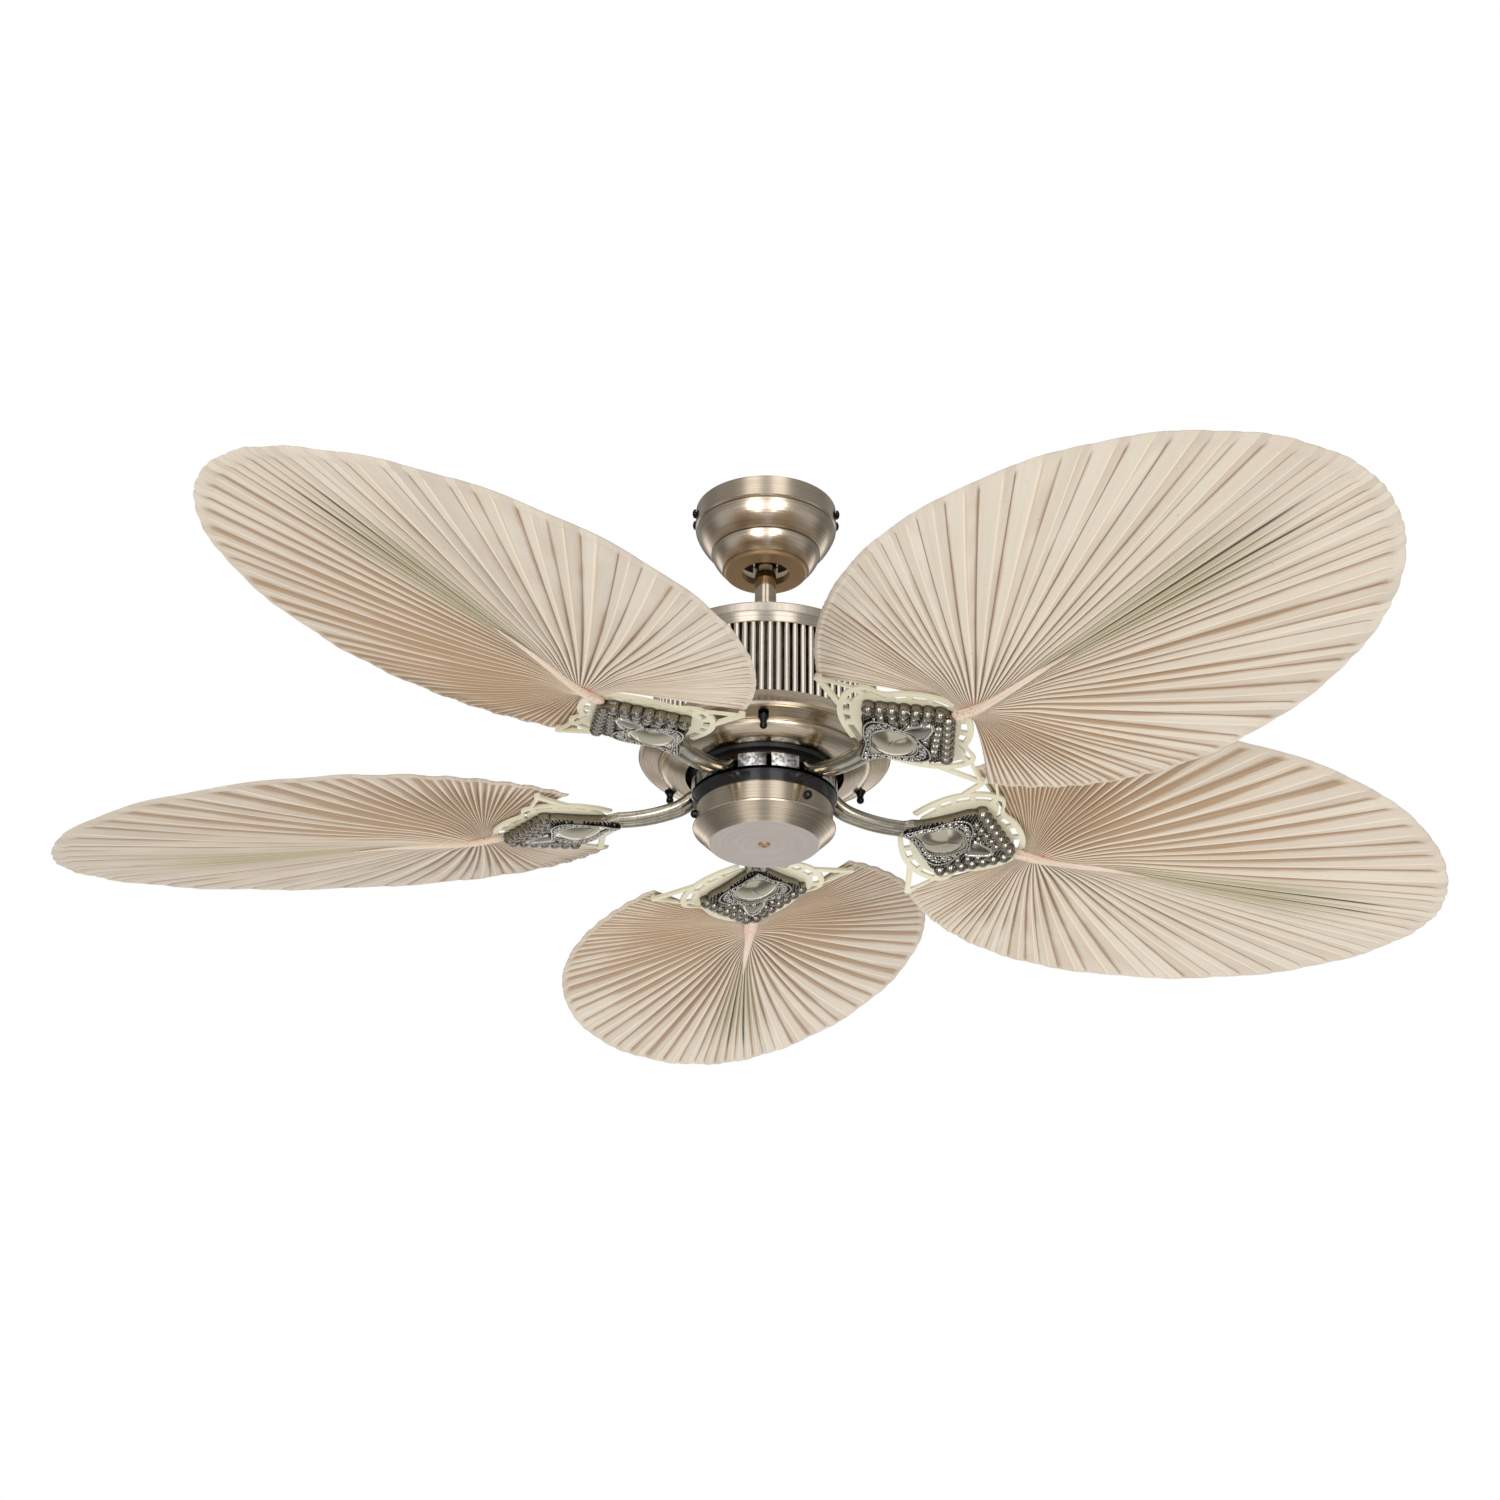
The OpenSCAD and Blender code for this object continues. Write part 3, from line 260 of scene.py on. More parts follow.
# Cast ornament: black patina lies in the hollows, edges and scrolls are rubbed silvery, and
# the boss is an even satin bronze; "proud" runs from 0 in the hollows to 1 on the edges
def castPatina(net):
    at = net.place()
    proud, boss = net.fact("proud"), net.fact("boss")
    cloud = net.noise(at, 190.0, 4.0, 0.65)
    speck = net.noise(at, 1500.0, 2.0)
    bronze = net.blend(cloud, casting["dull"], casting["bronze"])
    dark = net.blend(net.span(proud, *casting["patinaEdge"]), casting["patina"], bronze)
    bright = net.span(proud + (cloud - 0.5) * casting["uneven"], *casting["silverEdge"])
    colour = net.blend(bright, dark, casting["silver"])
    return {
        "Base Color": net.blend(boss, colour, casting["boss"]),
        "Roughness": casting["rough"] + (cloud - 0.5) * (1.0 - boss) * 0.10,
        "Normal": net.bump(speck * (1.0 - boss), 0.05, 0.0003),
    }


ivoryTones = {"low": (0.66, 0.605, 0.435), "high": (0.76, 0.705, 0.535)}


# Moulded ivory plastic with an uneven, faintly yellow tone
def ivory(net):
    at = net.place()
    cloud = net.noise(at, 9.0, 3.0)
    grain = net.noise(at, 900.0, 2.0)
    return {
        "Base Color": net.blend(net.span(cloud, 0.35, 0.65), ivoryTones["low"], ivoryTones["high"]),
        "Roughness": 0.36 + (grain - 0.5) * 0.14,
        "Normal": net.bump(grain, 0.04, 0.0004),
    }


brass = {"light": (0.64, 0.54, 0.42), "dark": (0.48, 0.40, 0.305), "rough": 0.20}


def brassOf(name, **more):
    return finish(name, spunMetal(**{**brass, **more}), Metallic=1.0, Anisotropic=0.5)


# Slot of the record: finish name, then light and dark tone, roughness, grain and relief, metallic
plainFinishes = {
    "dark_bronze": ("darkBronze", (0.10, 0.085, 0.07), (0.05, 0.042, 0.036), 0.32, 60.0, 0.05, 1.0),
    "gloss_black": ("glossBlack", (0.008, 0.008, 0.009), (0.004, 0.004, 0.005), 0.10, 30.0, 0.02, 0.0),
    "hub_black": ("hubBlack", (0.014, 0.013, 0.012), (0.007, 0.006, 0.006), 0.30, 60.0, 0.05, 0.0),
    "black_steel": ("blackSteel", (0.05, 0.048, 0.048), (0.016, 0.016, 0.017), 0.16, 90.0, 0.05, 1.0),
    "zinc_steel": ("zincSteel", (0.62, 0.62, 0.60), (0.42, 0.43, 0.43), 0.34, 120.0, 0.05, 1.0),
    "cast_steel": ("castSteel", (0.26, 0.26, 0.27), (0.16, 0.16, 0.17), 0.42, 90.0, 0.15, 1.0),
    "cast_aluminium": ("castAluminium", (0.62, 0.62, 0.63), (0.46, 0.46, 0.47), 0.45, 140.0, 0.20, 1.0),
    "copper": ("copperWire", (0.72, 0.33, 0.18), (0.48, 0.18, 0.09), 0.28, 160.0, 0.15, 1.0),
    "dark_plastic": ("darkPlastic", (0.03, 0.03, 0.03), (0.02, 0.02, 0.02), 0.50, 80.0, 0.10, 0.0),
}
ribTones = (0.86, 0.79, 0.70), (0.72, 0.64, 0.55)
goldTones = (0.50, 0.345, 0.19), (0.44, 0.30, 0.165)
# Ceiling bracket painted near black: painted shade inside the canopy, where the ceiling keeps the light out
bracketShadeTones = (0.06, 0.06, 0.062), (0.03, 0.03, 0.032)
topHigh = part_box("housing_top")[1][2]
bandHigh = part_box("lower_band")[1][2]
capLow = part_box("bottom_cap")[0][2]
everywhere = [(-1.0, 1.0)]

finishes = {
    "antique_brass": brassOf("antiqueBrass"),
    "rib_brass": finish("ribBrass", spunMetal(*ribTones, 0.08, streaked=everywhere), Metallic=1.0),
    "tan_gold": finish("tanGold", spunMetal(*goldTones, 0.40, 0.6), Metallic=0.75),
    "antique_bronze": finish("agedBronze", agedBronze, Metallic=1.0),
    "ivory_plastic": finish("ivoryPlastic", ivory, Metallic=0.0),
}
for slot, (name, *coat, metallic) in plainFinishes.items():
    finishes[slot] = finish(name, plainCoat(*coat), Metallic=metallic)
ownFinishes = {
    "downrod": brassOf("rodBrass", rough=0.09),
    "canopy": brassOf("canopyBrass", grooves=[-0.0208, -0.0442]),
    "housing_top": brassOf("topBrass", light=(0.74, 0.66, 0.56), dark=(0.58, 0.51, 0.42), rough=0.10,
                           streaked=[(topHigh - 0.009, topHigh + 0.001)]),
    "lower_band": brassOf("bandBrass", streaked=[(bandHigh - 0.0065, bandHigh + 0.001)]),
    "bottom_cap": brassOf("capBrass", disc=capLow + 0.0006),
    # Painted shade on the bracket inside the canopy
    "ceiling_bracket": finish("shadedBracket", plainCoat(*bracketShadeTones, 0.4), Metallic=1.0),
}

slotOf = {entry["node"]: entry["material_slot"] for entry in frame["record"]["subparts"]}
for name, node in nodes.items():
    look = ownFinishes.get(name) or finishes.get(slotOf.get(name))
    if look:
        node.data.materials.clear()
        node.data.materials.append(look)
print("CAD finishes made:", len(finishes) + len(ownFinishes))


blade = {"turn": -51.0, "out": 249.0, "drop": -292.3, "droop": 4.0, "pitch": -11.0}


# Blade frame to object frame: pitch about X, droop about Y, out along X, then turn about Z
def fromBlade(k, s, v, h):
    pitch, droop = math.radians(blade["pitch"]), math.radians(blade["droop"])
    turn = math.radians(blade["turn"] + 360.0 / bladeCount * k)
    y = v * math.cos(pitch) - h * math.sin(pitch)
    z = v * math.sin(pitch) + h * math.cos(pitch)
    x = s * math.cos(droop) + z * math.sin(droop) + blade["out"]
    z = -s * math.sin(droop) + z * math.cos(droop) + blade["drop"]
    return np.stack([x * math.cos(turn) - y * math.sin(turn),
                     x * math.sin(turn) + y * math.cos(turn), z], -1) * mm


# 0 below low and 1 above high, with a smooth step between
def rise(value, low, high):
    share = np.clip((value - low) / (high - low), 0, 1)
    return share * share * (3 - 2 * share)


# 1 at a distance of 0, falling along a bell curve
def bell(distance, width):
    return np.exp(-(distance / width)**2)


# 1 at a distance of 0, falling along an ellipse to 0 at the reach
def hump(distance, reach):
    return np.sqrt(np.clip(1 - (distance / reach)**2, 0, 1))


# Round bead, rope or rib in section: its height over its middle at a given distance from it
def crown(distance, radius):
    return np.sqrt(np.clip(radius**2 - distance**2, 0, None))


# Rounded end: from 0 up to 1 along a quarter circle as the share goes from 0 to 1
def roundEnd(share):
    share = np.clip(share, 0, 1)
    return np.sqrt(share * (2 - share))


# Grid of points into a mesh piece; wrapU or wrapV joins the last row or column to the first
def gridPiece(name, points, wrapU=False, wrapV=False, uv=None, facts=None, weld=1e-6):
    rows, columns = points.shape[:2]
    index = np.arange(rows * columns).reshape(rows, columns)
    if wrapU:
        index = np.vstack([index, index[:1]])
    if wrapV:
        index = np.hstack([index, index[:, :1]])
    quads = np.stack([index[:-1, :-1], index[1:, :-1], index[1:, 1:], index[:-1, 1:]], -1).reshape(-1, 4)
    mesh = bpy.data.meshes.new(name)
    mesh.from_pydata(points.reshape(-1, 3), [], quads.tolist())
    if uv is not None:
        layer = mesh.uv_layers.new(name="pleats")
        corners = uv.reshape(-1, 2)[quads.reshape(-1)].astype(np.float32)
        layer.data.foreach_set("uv", corners.reshape(-1))
    for fact, values in (facts or {}).items():
        layer = mesh.attributes.new(fact, "FLOAT", "POINT")
        layer.data.foreach_set("value", values.astype(np.float32).reshape(-1))
    shape = bmesh.new()
    shape.from_mesh(mesh)
    bmesh.ops.remove_doubles(shape, verts=shape.verts, dist=weld)
    bmesh.ops.recalc_face_normals(shape, faces=shape.faces)
    shape.to_mesh(mesh)
    shape.free()
    mesh.polygons.foreach_set("use_smooth", np.ones(len(mesh.polygons), bool))
    piece = bpy.data.objects.new(name, mesh)
    bpy.context.scene.collection.objects.link(piece)
    return piece


def dress(piece, look, slot, *replaced):
    piece.data.materials.append(look)
    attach(piece, "rotor")
    if replaced:
        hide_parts(*replaced)


# Leaf, in millimetres and degrees; a list of five has one entry for each blade
leaf = {
    # grid: rows from root to rim, and places across one pleat
    "pleats": 78, "rows": 36, "rimRows": 10, "nib": 0.004, "rowPower": 0.55, "rimFrom": 0.93, "rimPower": 1.4,
    "across": [0.0, 0.05, 0.16, 0.32, 0.44, 0.5, 0.56, 0.68, 0.84, 0.95],
    # rim: its widest line, its reach from there, and how far round it runs on each side
    "middle": 115.0, "front": 296.0, "back": 230.0, "side": 179.0,
    "long": [1.0, 1.055, 1.01, 0.985, 0.937], "broad": [1.007, 1.025, 1.0, 1.11, 1.03],
    "tipPower": [1.05, 1.12, 1.14, 1.12, 1.10], "scallop": 0.003, "scallopFrom": 0.9,
    "turn": [(149.0, 148.0), (155.0, 146.0), (150.0, 149.0), (146.0, 157.0), (155.0, 147.5)],
    # width of the pleats at these angles from the tip, and how uneven they are
    "spacing": [[0, 16, 26, 84, 96, 112, 124, 160], [5.0, 5.0, 7.4, 7.4, 5.0, 4.2, 2.2, 1.8]],
    "uneven": 0.13, "deepUneven": 0.20, "lean": 0.10, "leanUneven": 0.05,
    # where the pleats meet, along and across the blade, and how far the rim is swung sideways
    "root": [-9.0, -4.0, 0.0, -2.0, -2.0], "node": [8.0, 1.0, -1.5, 2.0, -3.0],
    "sway": [1.0, -1.5, -7.0, -9.0, -13.5], "skew": [-0.035, 0.03, -0.03, 0.0, -0.022], "swing": 1.5,
    # how pleat lines bend: from the midrib out, within an angle of it, and in the base lobes
    "ribShift": 22.0, "ribBend": 0.26, "bendWithin": 80, "bendPower": 0.7,
    "lobeBend": 0.18, "lobeFrom": 90, "lobeOver": 55.7,
    # height of the middle face: at the root, its slope, its droop at one length, its cup at one width
    "base": 2.4, "slope": 0.0327, "droop": 24.3, "level": 5.7, "droopAt": 331.5, "cup": 10.0, "cupAt": 165.8,
    "sag": 5.0, "sagTo": 0.24, "sagOver": 0.22,
    # folds, midrib, sheet and hem
    "depth": 3.8, "deepRange": (0.55, 1.4), "rimDepth": 0.10, "fadeOver": 0.45, "fadePower": 0.7,
    "steepest": 0.46, "round": 0.03, "lip": 0.2, "lipWidth": 0.14, "lipEnds": (0.01, 0.08),
    "ripple": 0.6, "rippleTurn": 1.9, "rib": 1.6, "ribWidth": 2.6, "ribSpread": 5.0, "ribEnd": 0.75,
    "ribFade": 0.7, "sheet": 0.55, "hem": 1.5, "hemFrom": 0.974, "hemRise": 0.012, "sideHem": 0.5,
    # brown on the two sides and in the base lobes, where each sets in, and grey of the whole leaf, painted
    # shade that darkens some leaves more than others
    "tan": [(0.15, 0.80), (1.2, 0.30), (1.1, 1.3), (0.60, 1.3), (1.5, 0.25)], "tanSides": (-25, 25),
    "tanAside": (20, 110), "lobeTan": 0.4, "lobeTanAt": (95, 130), "rimPale": 0.6, "rimPaleAt": (0.25, 0.9),
    # dull: painted shade for each leaf, laid on as grey
    "dull": [0.04, 0.06, 0.12, 0.20, 0.10],
    "firstSeed": 40, "toneSeed": 3.7,         # seed of the random draws, and of the tones
}
palmTones = {
    "low": (0.66, 0.572, 0.465), "high": (0.75, 0.672, 0.560), "fibre": (0.57, 0.475, 0.38),
    "facetShade": (0.48, 0.395, 0.32), "tan": (0.46, 0.33, 0.21), "brownAndValleyShade": (0.28, 0.165, 0.08),
    "ochre": (0.47, 0.30, 0.16), "grey": (0.28, 0.24, 0.20), "green": (0.345, 0.315, 0.175),
    "rustAndShadow": (0.60, 0.39, 0.24), "ridge": (0.80, 0.70, 0.55), "deep": (0.20, 0.12, 0.07),
    "crease": (0.25, 0.17, 0.115), "slitShade": (0.06, 0.05, 0.03), "core": (0.66, 0.40, 0.28),
    "speckle": (0.52, 0.10, 0.05), "freckle": (0.33, 0.19, 0.09),
}


# Dried palm leaf. U counts the pleats, with a fold in the valley at each whole number and a
# ridge half way between, and V runs from 0 at the petiole to 1 at the rim; "tan" is how far
# the valleys have turned brown. Painted shade lies in the valleys, on one facet of each pleat and
# in the slits by the midrib, and a painted highlight lies on the ridges
def palm(net):
    u, v = net.parts(net.add("ShaderNodeUVMap", {"uv_map": "pleats"}))[:2]
    seed, above = net.fact("seed"), net.fact("above")
    at = net.place()
    pleat = (u + 0.0001).math("FLOOR")
    across = u - pleat
    edge = (u + 0.5).math("FLOOR")                       # one number for each valley
    gap = abs(u - edge)                                  # 0 in the valley, 0.5 on the ridge
    fold = gap + above * (0.5 - 2.0 * gap)               # the folds swap on the upper face
    mid = abs(u - leaf["pleats"] / 2)                    # pleats from the midrib
    before = net.span(v, 0.993, 0.955)                   # folds end before the hem
    lobe = net.span(mid, 18.0, 27.0)                     # closer pleats in the base lobes
    wide = (0.010 + 0.014 / (v + 0.06)) * (1.0 + lobe * 0.8)    # one width in millimetres
    own = net.chance(pleat, seed)
    line = net.chance(edge, seed + 3.0)
    other = net.chance(pleat + across.math("GREATER_THAN", 0.5) * 0.5, seed + 7.0)
    fibre = net.noise(net.joined(u * 7.0, v * 1.6, seed), 1.0, 4.0, 0.6)
    thread = net.noise(net.joined(u * 40.0, v * 3.0, seed), 1.0, 2.0)
    drift = net.noise(net.joined(u * 0.9, v * 3.4, seed), 1.0, 2.0)
    tan = net.fact("tan") + (own - 0.5) * 0.25 + (drift - 0.5) * 0.5

    # Painted shade on the facet past each ridge, in random patches
    facetShade = net.span(across, 0.50, 0.56) * net.span(drift, 0.30, 0.60)
    # Brown in the valleys, spreading further where the leaf is more tan: partly real browning, partly painted
    # shade in the crease that is concave on each face
    brownAndValleyShade = net.span(fold - tan * 0.46 + (thread - 0.5) * 0.16, 0.05, -0.09)
    green = net.span(mid, 5.0, 0.8) * net.span(v, 0.08, 0.25) * net.span(v, 0.90, 0.55)
    # Orange line just past each ridge in random pleats: partly rust, partly a painted shadow beside the ridge
    rustAndRidgeShadow = net.span(abs(across - 0.55), 0.05, 0.02) * net.span(drift * 0.5 + own * 0.5, 0.42, 0.60)
    # Painted highlight: a cream line along each ridge
    ridge = net.span(fold, 0.5 - 2.0 * wide, 0.5 - wide) * before
    # Painted shade: the valleys dark and wide near the root
    deep = net.span(fold, 0.36, 0.10) * net.span(v, 0.34, 0.03)
    # Painted shade: a thin dark line in each valley
    crease = net.span(fold, wide * 1.4, wide * 0.5) * before
    strong = net.span(line * 0.6 + drift * 0.5, 0.28, 0.62)
    # Painted shade: dark lines beside the midrib standing for the gaps between leaflets
    slitShade = net.span(abs(mid - 1.0), 0.17, 0.05) * net.span(v, 0.08, 0.2) * net.span(v, 0.92, 0.78)
    core = net.span(v, 0.07, 0.02)
    speckle = net.span(v, 0.050, 0.02) * net.span(net.noise(at, 420.0, 3.0), 0.52, 0.62)
    freckle = net.span(net.noise(at, 300.0, 1.0), 0.77, 0.81)

    tones = palmTones
    valley = net.blend(thread, tones["brownAndValleyShade"], tones["ochre"])
    colour = net.blend(other, tones["low"], tones["high"])
    layers = [(net.span(fibre, 0.35, 0.75) * 0.3, tones["fibre"]), (facetShade * 0.35, tones["facetShade"]),
              (tan * 0.30, tones["tan"]), (brownAndValleyShade * before * 0.85, valley),
              # The leaf's "dull" grey is painted shade
              (net.fact("dull"), tones["grey"]), (green * net.span(fibre, 0.2, 0.5) * 0.75, tones["green"]),
              (rustAndRidgeShadow * before * 0.6, tones["rustAndShadow"]), (ridge * 0.7, tones["ridge"]),
              (deep * 0.85, tones["deep"]), (crease * (0.35 + 0.5 * strong), tones["crease"]),
              (slitShade * 0.9, tones["slitShade"]), (core * 0.5, tones["core"]),
              (speckle * 0.8, tones["speckle"]), (freckle * 0.5, tones["freckle"])]
    for share, tone in layers:
        colour = net.blend(share, colour, tone)
    crinkle = net.noise(at, 260.0, 3.0) * net.span(v, 0.72, 0.93)
    return {
        "Base Color": colour,
        "Roughness": 0.58 + (fibre - 0.5) * 0.25,
        "Normal": net.bump(fibre * 0.5 + thread * 0.35 + crinkle * 0.9, 0.42, 0.0008),
    }


leafFinish = finish("driedPalm", palm, Metallic=0.0)


# Height of the leaf's middle face: flat at the root, drooping and crowned towards the rim
def leafHeight(x, y):
    far = x / leaf["droopAt"]
    return (leaf["base"] + leaf["slope"] * x + leaf["droop"] * far**2 - leaf["level"] * far**3
            + leaf["cup"] * (y / leaf["cupAt"])**2)


# How far the leaf is drawn down towards its root
def leafSag(way):
    return leaf["sag"] * rise(leaf["sagTo"] - way, 0.0, leaf["sagOver"])


# Sideways place of the midline: off the middle at the root, and swung over towards the rim
def leafAxis(k, way, out):
    swung = leaf["sway"][k] + leaf["skew"][k] * out
    return leaf["node"][k] * (1 - way)**2 + swung * way**leaf["swing"]


# Rim: an ellipse before and behind its widest line, the front one drawn in towards the tip
def leafRim(angle, k):
    sine, cosine = np.sin(angle), np.cos(angle)
    front = cosine > 0
    reach = np.where(front, leaf["front"] * leaf["long"][k], leaf["back"])
    power = np.where(front, leaf["tipPower"][k], 1.0)
    half = leaf["side"] * leaf["broad"][k]
    return leaf["middle"] + reach * cosine, half * np.sign(sine) * np.abs(sine)**power


# Rim angles at which the pleats begin and end: close at the tip, wide along the sides and
# closest in the base lobes, each a little off its even place
def pleatEdges(rng, k):
    sides = []
    for limit in leaf["turn"][k]:
        degrees = np.linspace(0, limit, 1001)
        density = 1 / np.interp(degrees, *leaf["spacing"])
        total = np.concatenate([[0], np.cumsum((density[1:] + density[:-1]) / 2)])
        places = np.linspace(0, total[-1], leaf["pleats"] // 2 + 1)
        sides.append(np.interp(places, total, degrees))
    edges = np.concatenate([-sides[0][::-1], sides[1][1:]])
    edges[1:-1] += rng.normal(0, leaf["uneven"], len(edges) - 2) * np.diff(edges)[1:]
    return edges


# Rows of the leaf's grid, as shares of the way from root to rim, closest at both ends
def leafRows():
    power, turn = leaf["rowPower"], leaf["rimFrom"]
    inner = np.linspace(leaf["nib"]**power, turn**power, leaf["rows"])**(1 / power)
    outer = 1 - (1 - turn) * np.linspace(1, 0, leaf["rimRows"] + 1)[1:]**leaf["rimPower"]
    return np.concatenate([inner, outer])


# Fold across a pleat: from 1 in its valley to -1 on its rounded ridge, with a lip at the valley
def pleatFold(valley, way):
    rounded = 2 * np.sqrt(valley**2 + leaf["round"]) / math.sqrt(1 + leaf["round"]) - 1
    return rounded + leaf["lip"] * bell(1 - valley, leaf["lipWidth"]) * rise(1 - way, *leaf["lipEnds"])


# Rows of the lower face and then those of the upper one back again, as one closed loop
def twoFaces(lower, upper=None):
    return np.concatenate([lower, (lower if upper is None else upper)[::-1]])


# Leaf: pleat lines leave the root along the midrib and bend out to the rim. Across them a
# zigzag makes the folds, sharp in the valleys, with each ridge a little off the middle of its
# pleat; its depth follows the pleats' spacing. Two such faces close round a thicker hem
def makeLeaf(k):
    rng = np.random.default_rng(leaf["firstSeed"] + k)
    count, across = leaf["pleats"], np.array(leaf["across"])
    edges = pleatEdges(rng, k)
    u = np.append((np.arange(count)[:, None] + across).reshape(-1), count)
    share = np.append(np.tile(across, count), 0.0)
    pleat = np.minimum(np.floor(u), count - 1).astype(int)
    away = np.sign(count / 2 - 0.5 - np.arange(count))
    lean = (0.5 + leaf["lean"] * away + rng.normal(0, leaf["leanUneven"], count))[pleat]
    warped = np.where(share < 0.5, 2 * share * lean, lean + (2 * share - 1) * (1 - lean))
    turned = np.interp(pleat + np.where(u == count, 1, warped), np.arange(count + 1), edges)
    degrees, way = np.meshgrid(turned, leafRows())
    off, angle = np.abs(degrees), np.radians(degrees)
    valley = np.broadcast_to(np.abs(2 * share - 1), way.shape)
    pleatAt = np.broadcast_to(u, way.shape)

    rimX, rimY = leafRim(angle, k)
    bent = way * (1 - leaf["scallop"] * valley**2 * rise(way, leaf["scallopFrom"], 1.0))
    inLobe = np.clip((off - leaf["lobeFrom"]) / leaf["lobeOver"], 0, 1)
    nearRib = np.clip(1 - off / leaf["bendWithin"], 0, 1)**leaf["bendPower"]
    x = rimX * bent**(1 + leaf["lobeBend"] * inLobe)
    y = rimY * bent**(1 + leaf["ribBend"] * nearRib)
    x = x + (leaf["root"][k] + leaf["ribShift"] * np.cos(angle / 2)**2) * (1 - way)**3
    axis = leafAxis(k, way, rimX - leaf["middle"])
    y = y + axis

    step = len(across)
    period = np.hypot(x[:, step:] - x[:, :-step], y[:, step:] - y[:, :-step])
    period = np.pad(period, ((0, 0), (step // 2, step - step // 2)), mode="edge")
    own = np.clip(1 + leaf["deepUneven"] * rng.standard_normal(count), *leaf["deepRange"])
    own = np.interp(u, np.arange(count) + 0.5, own)
    inward = rise(1 - way, 0.0, leaf["fadeOver"])**leaf["fadePower"]
    room = leaf["depth"] * own * (leaf["rimDepth"] + (1 - leaf["rimDepth"]) * inward)
    depth = np.minimum(room, leaf["steepest"] * period)
    ripple = leaf["ripple"] * np.sin(pleatAt * leaf["rippleTurn"] + k) * way**3
    rib = leaf["rib"] * bell(y - axis, leaf["ribWidth"] + leaf["ribSpread"] * (1 - way))
    rib = rib * np.clip((leaf["ribEnd"] - way) / leaf["ribFade"], 0, 1)
    middle = leafHeight(x, y) + depth * 0.5 * pleatFold(valley, way) + ripple - rib - leafSag(way)

    hem = rise(way, leaf["hemFrom"] - leaf["hemRise"], leaf["hemFrom"])
    thick = leaf["sheet"] + (leaf["hem"] - leaf["sheet"]) * hem
    thick = thick * roundEnd((1 - way) / (1 - leaf["hemFrom"]))
    thick = thick * roundEnd(np.minimum(pleatAt, count - pleatAt) / leaf["sideHem"])

    first, second = leaf["tan"][k]
    tan = first + (second - first) * rise(degrees, *leaf["tanSides"])
    tan = tan * (0.5 + 0.5 * rise(off, *leaf["tanAside"])) + leaf["lobeTan"] * rise(off, *leaf["lobeTanAt"])
    tan = tan * (1 - leaf["rimPale"] * rise(way, *leaf["rimPaleAt"]))

    points = fromBlade(k, twoFaces(x), twoFaces(y), twoFaces(middle - thick, middle + thick))
    uv = np.stack([twoFaces(pleatAt), twoFaces(way)], -1)
    above = twoFaces(np.zeros_like(way), np.ones_like(way))
    # "dull" carries each leaf's painted shade
    facts = {"seed": np.full(above.shape, leaf["toneSeed"] * k), "above": above, "tan": twoFaces(tan),
             "dull": np.full(above.shape, leaf["dull"][k])}
    piece = gridPiece(f"leafBlade_{k + 1}", points, wrapU=True, uv=uv, facts=facts, weld=2e-6)
    dress(piece, leafFinish, "palm_leaf", f"leaf_{k + 1}")


# Petiole in millimetres: where it begins and ends from the leaf's root, and its half width
petiole = {"from": -16.0, "to": 128.0, "width": 6.6, "depth": 2.8, "rings": 70, "round": 28,
           "front": -4.6, "proud": 3.2, "climb": (-7, 16), "ringPower": 1.2,
           "taper": 0.65, "flatter": 0.7, "rootEnd": (-0.001, 0.07), "waist": 0.25, "waistAt": (0.1, 0.35),
           "ridges": [(0.07, 5, 6), (0.05, 9, -11)]}   # height, number round it, and twist along it
stalkTones = {"dark": (0.66, 0.49, 0.37), "pale": (0.78, 0.66, 0.53), "scar": (0.52, 0.13, 0.07)}


# Petiole: peach stalk with finer streaks along it and red scars round its root
def stalk(net):
    u, v = net.parts(net.add("ShaderNodeUVMap", {"uv_map": "pleats"}))[:2]
    streak = net.noise(net.joined(u * 16.0, v * 2.5), 1.0, 4.0, 0.6)
    colour = net.blend(net.span(streak, 0.35, 0.7), stalkTones["dark"], stalkTones["pale"])
    scar = net.span(net.noise(net.place(), 420.0, 3.0), 0.55, 0.64)
    scar = scar * net.span(v, 0.02, 0.08) * net.span(v, 0.32, 0.16)
    return {
        "Base Color": net.blend(scar * 0.75, colour, stalkTones["scar"]),
        "Roughness": 0.52 + (streak - 0.5) * 0.2,
        "Normal": net.bump(streak, 0.3, 0.0006),
    }


stalkFinish = finish("palmStalk", stalk, Metallic=0.0)


# Petiole: an ellipse carried from the plate's face on to the leaf's midline, round at its root
# and drawn to a point, with fine ridges along it
def makePetiole(k):
    along = np.linspace(0, 1, petiole["rings"])**petiole["ringPower"]
    turn = np.linspace(0, 2 * np.pi, petiole["round"] + 1)[:-1]
    way, around = np.meshgrid(along, turn, indexing="ij")
    s = leaf["root"][k] + petiole["from"] + (petiole["to"] - petiole["from"]) * way
    taper = (1 - way)**petiole["taper"] * np.sqrt(rise(way, *petiole["rootEnd"]))
    taper = taper * (1 - petiole["waist"] * rise(way, *petiole["waistAt"]))
    ridged = 1
    for shift, (high, count, twist) in zip((k, 0), petiole["ridges"]):
        ridged = ridged + high * np.sin(count * around + twist * way + shift)
    far = np.clip(s / (leaf["middle"] + leaf["front"]), 0, 1)
    v = leafAxis(k, far, leaf["front"]) + petiole["width"] * taper * ridged * np.cos(around)
    onLeaf = leafHeight(np.maximum(s, 0), 0) - petiole["proud"] - leafSag(far)
    middle = petiole["front"] + (onLeaf - petiole["front"]) * rise(s, *petiole["climb"])
    h = middle + petiole["depth"] * taper**petiole["flatter"] * ridged * np.sin(around)
    uv = np.stack([around / (2 * np.pi), way], -1)
    piece = gridPiece(f"petiole_{k + 1}", fromBlade(k, s, v, h), wrapV=True, uv=uv)
    dress(piece, stalkFinish, "palm_leaf")


for k in range(bladeCount):
    makeLeaf(k)
    makePetiole(k)
print("leaves pleated:", bladeCount)


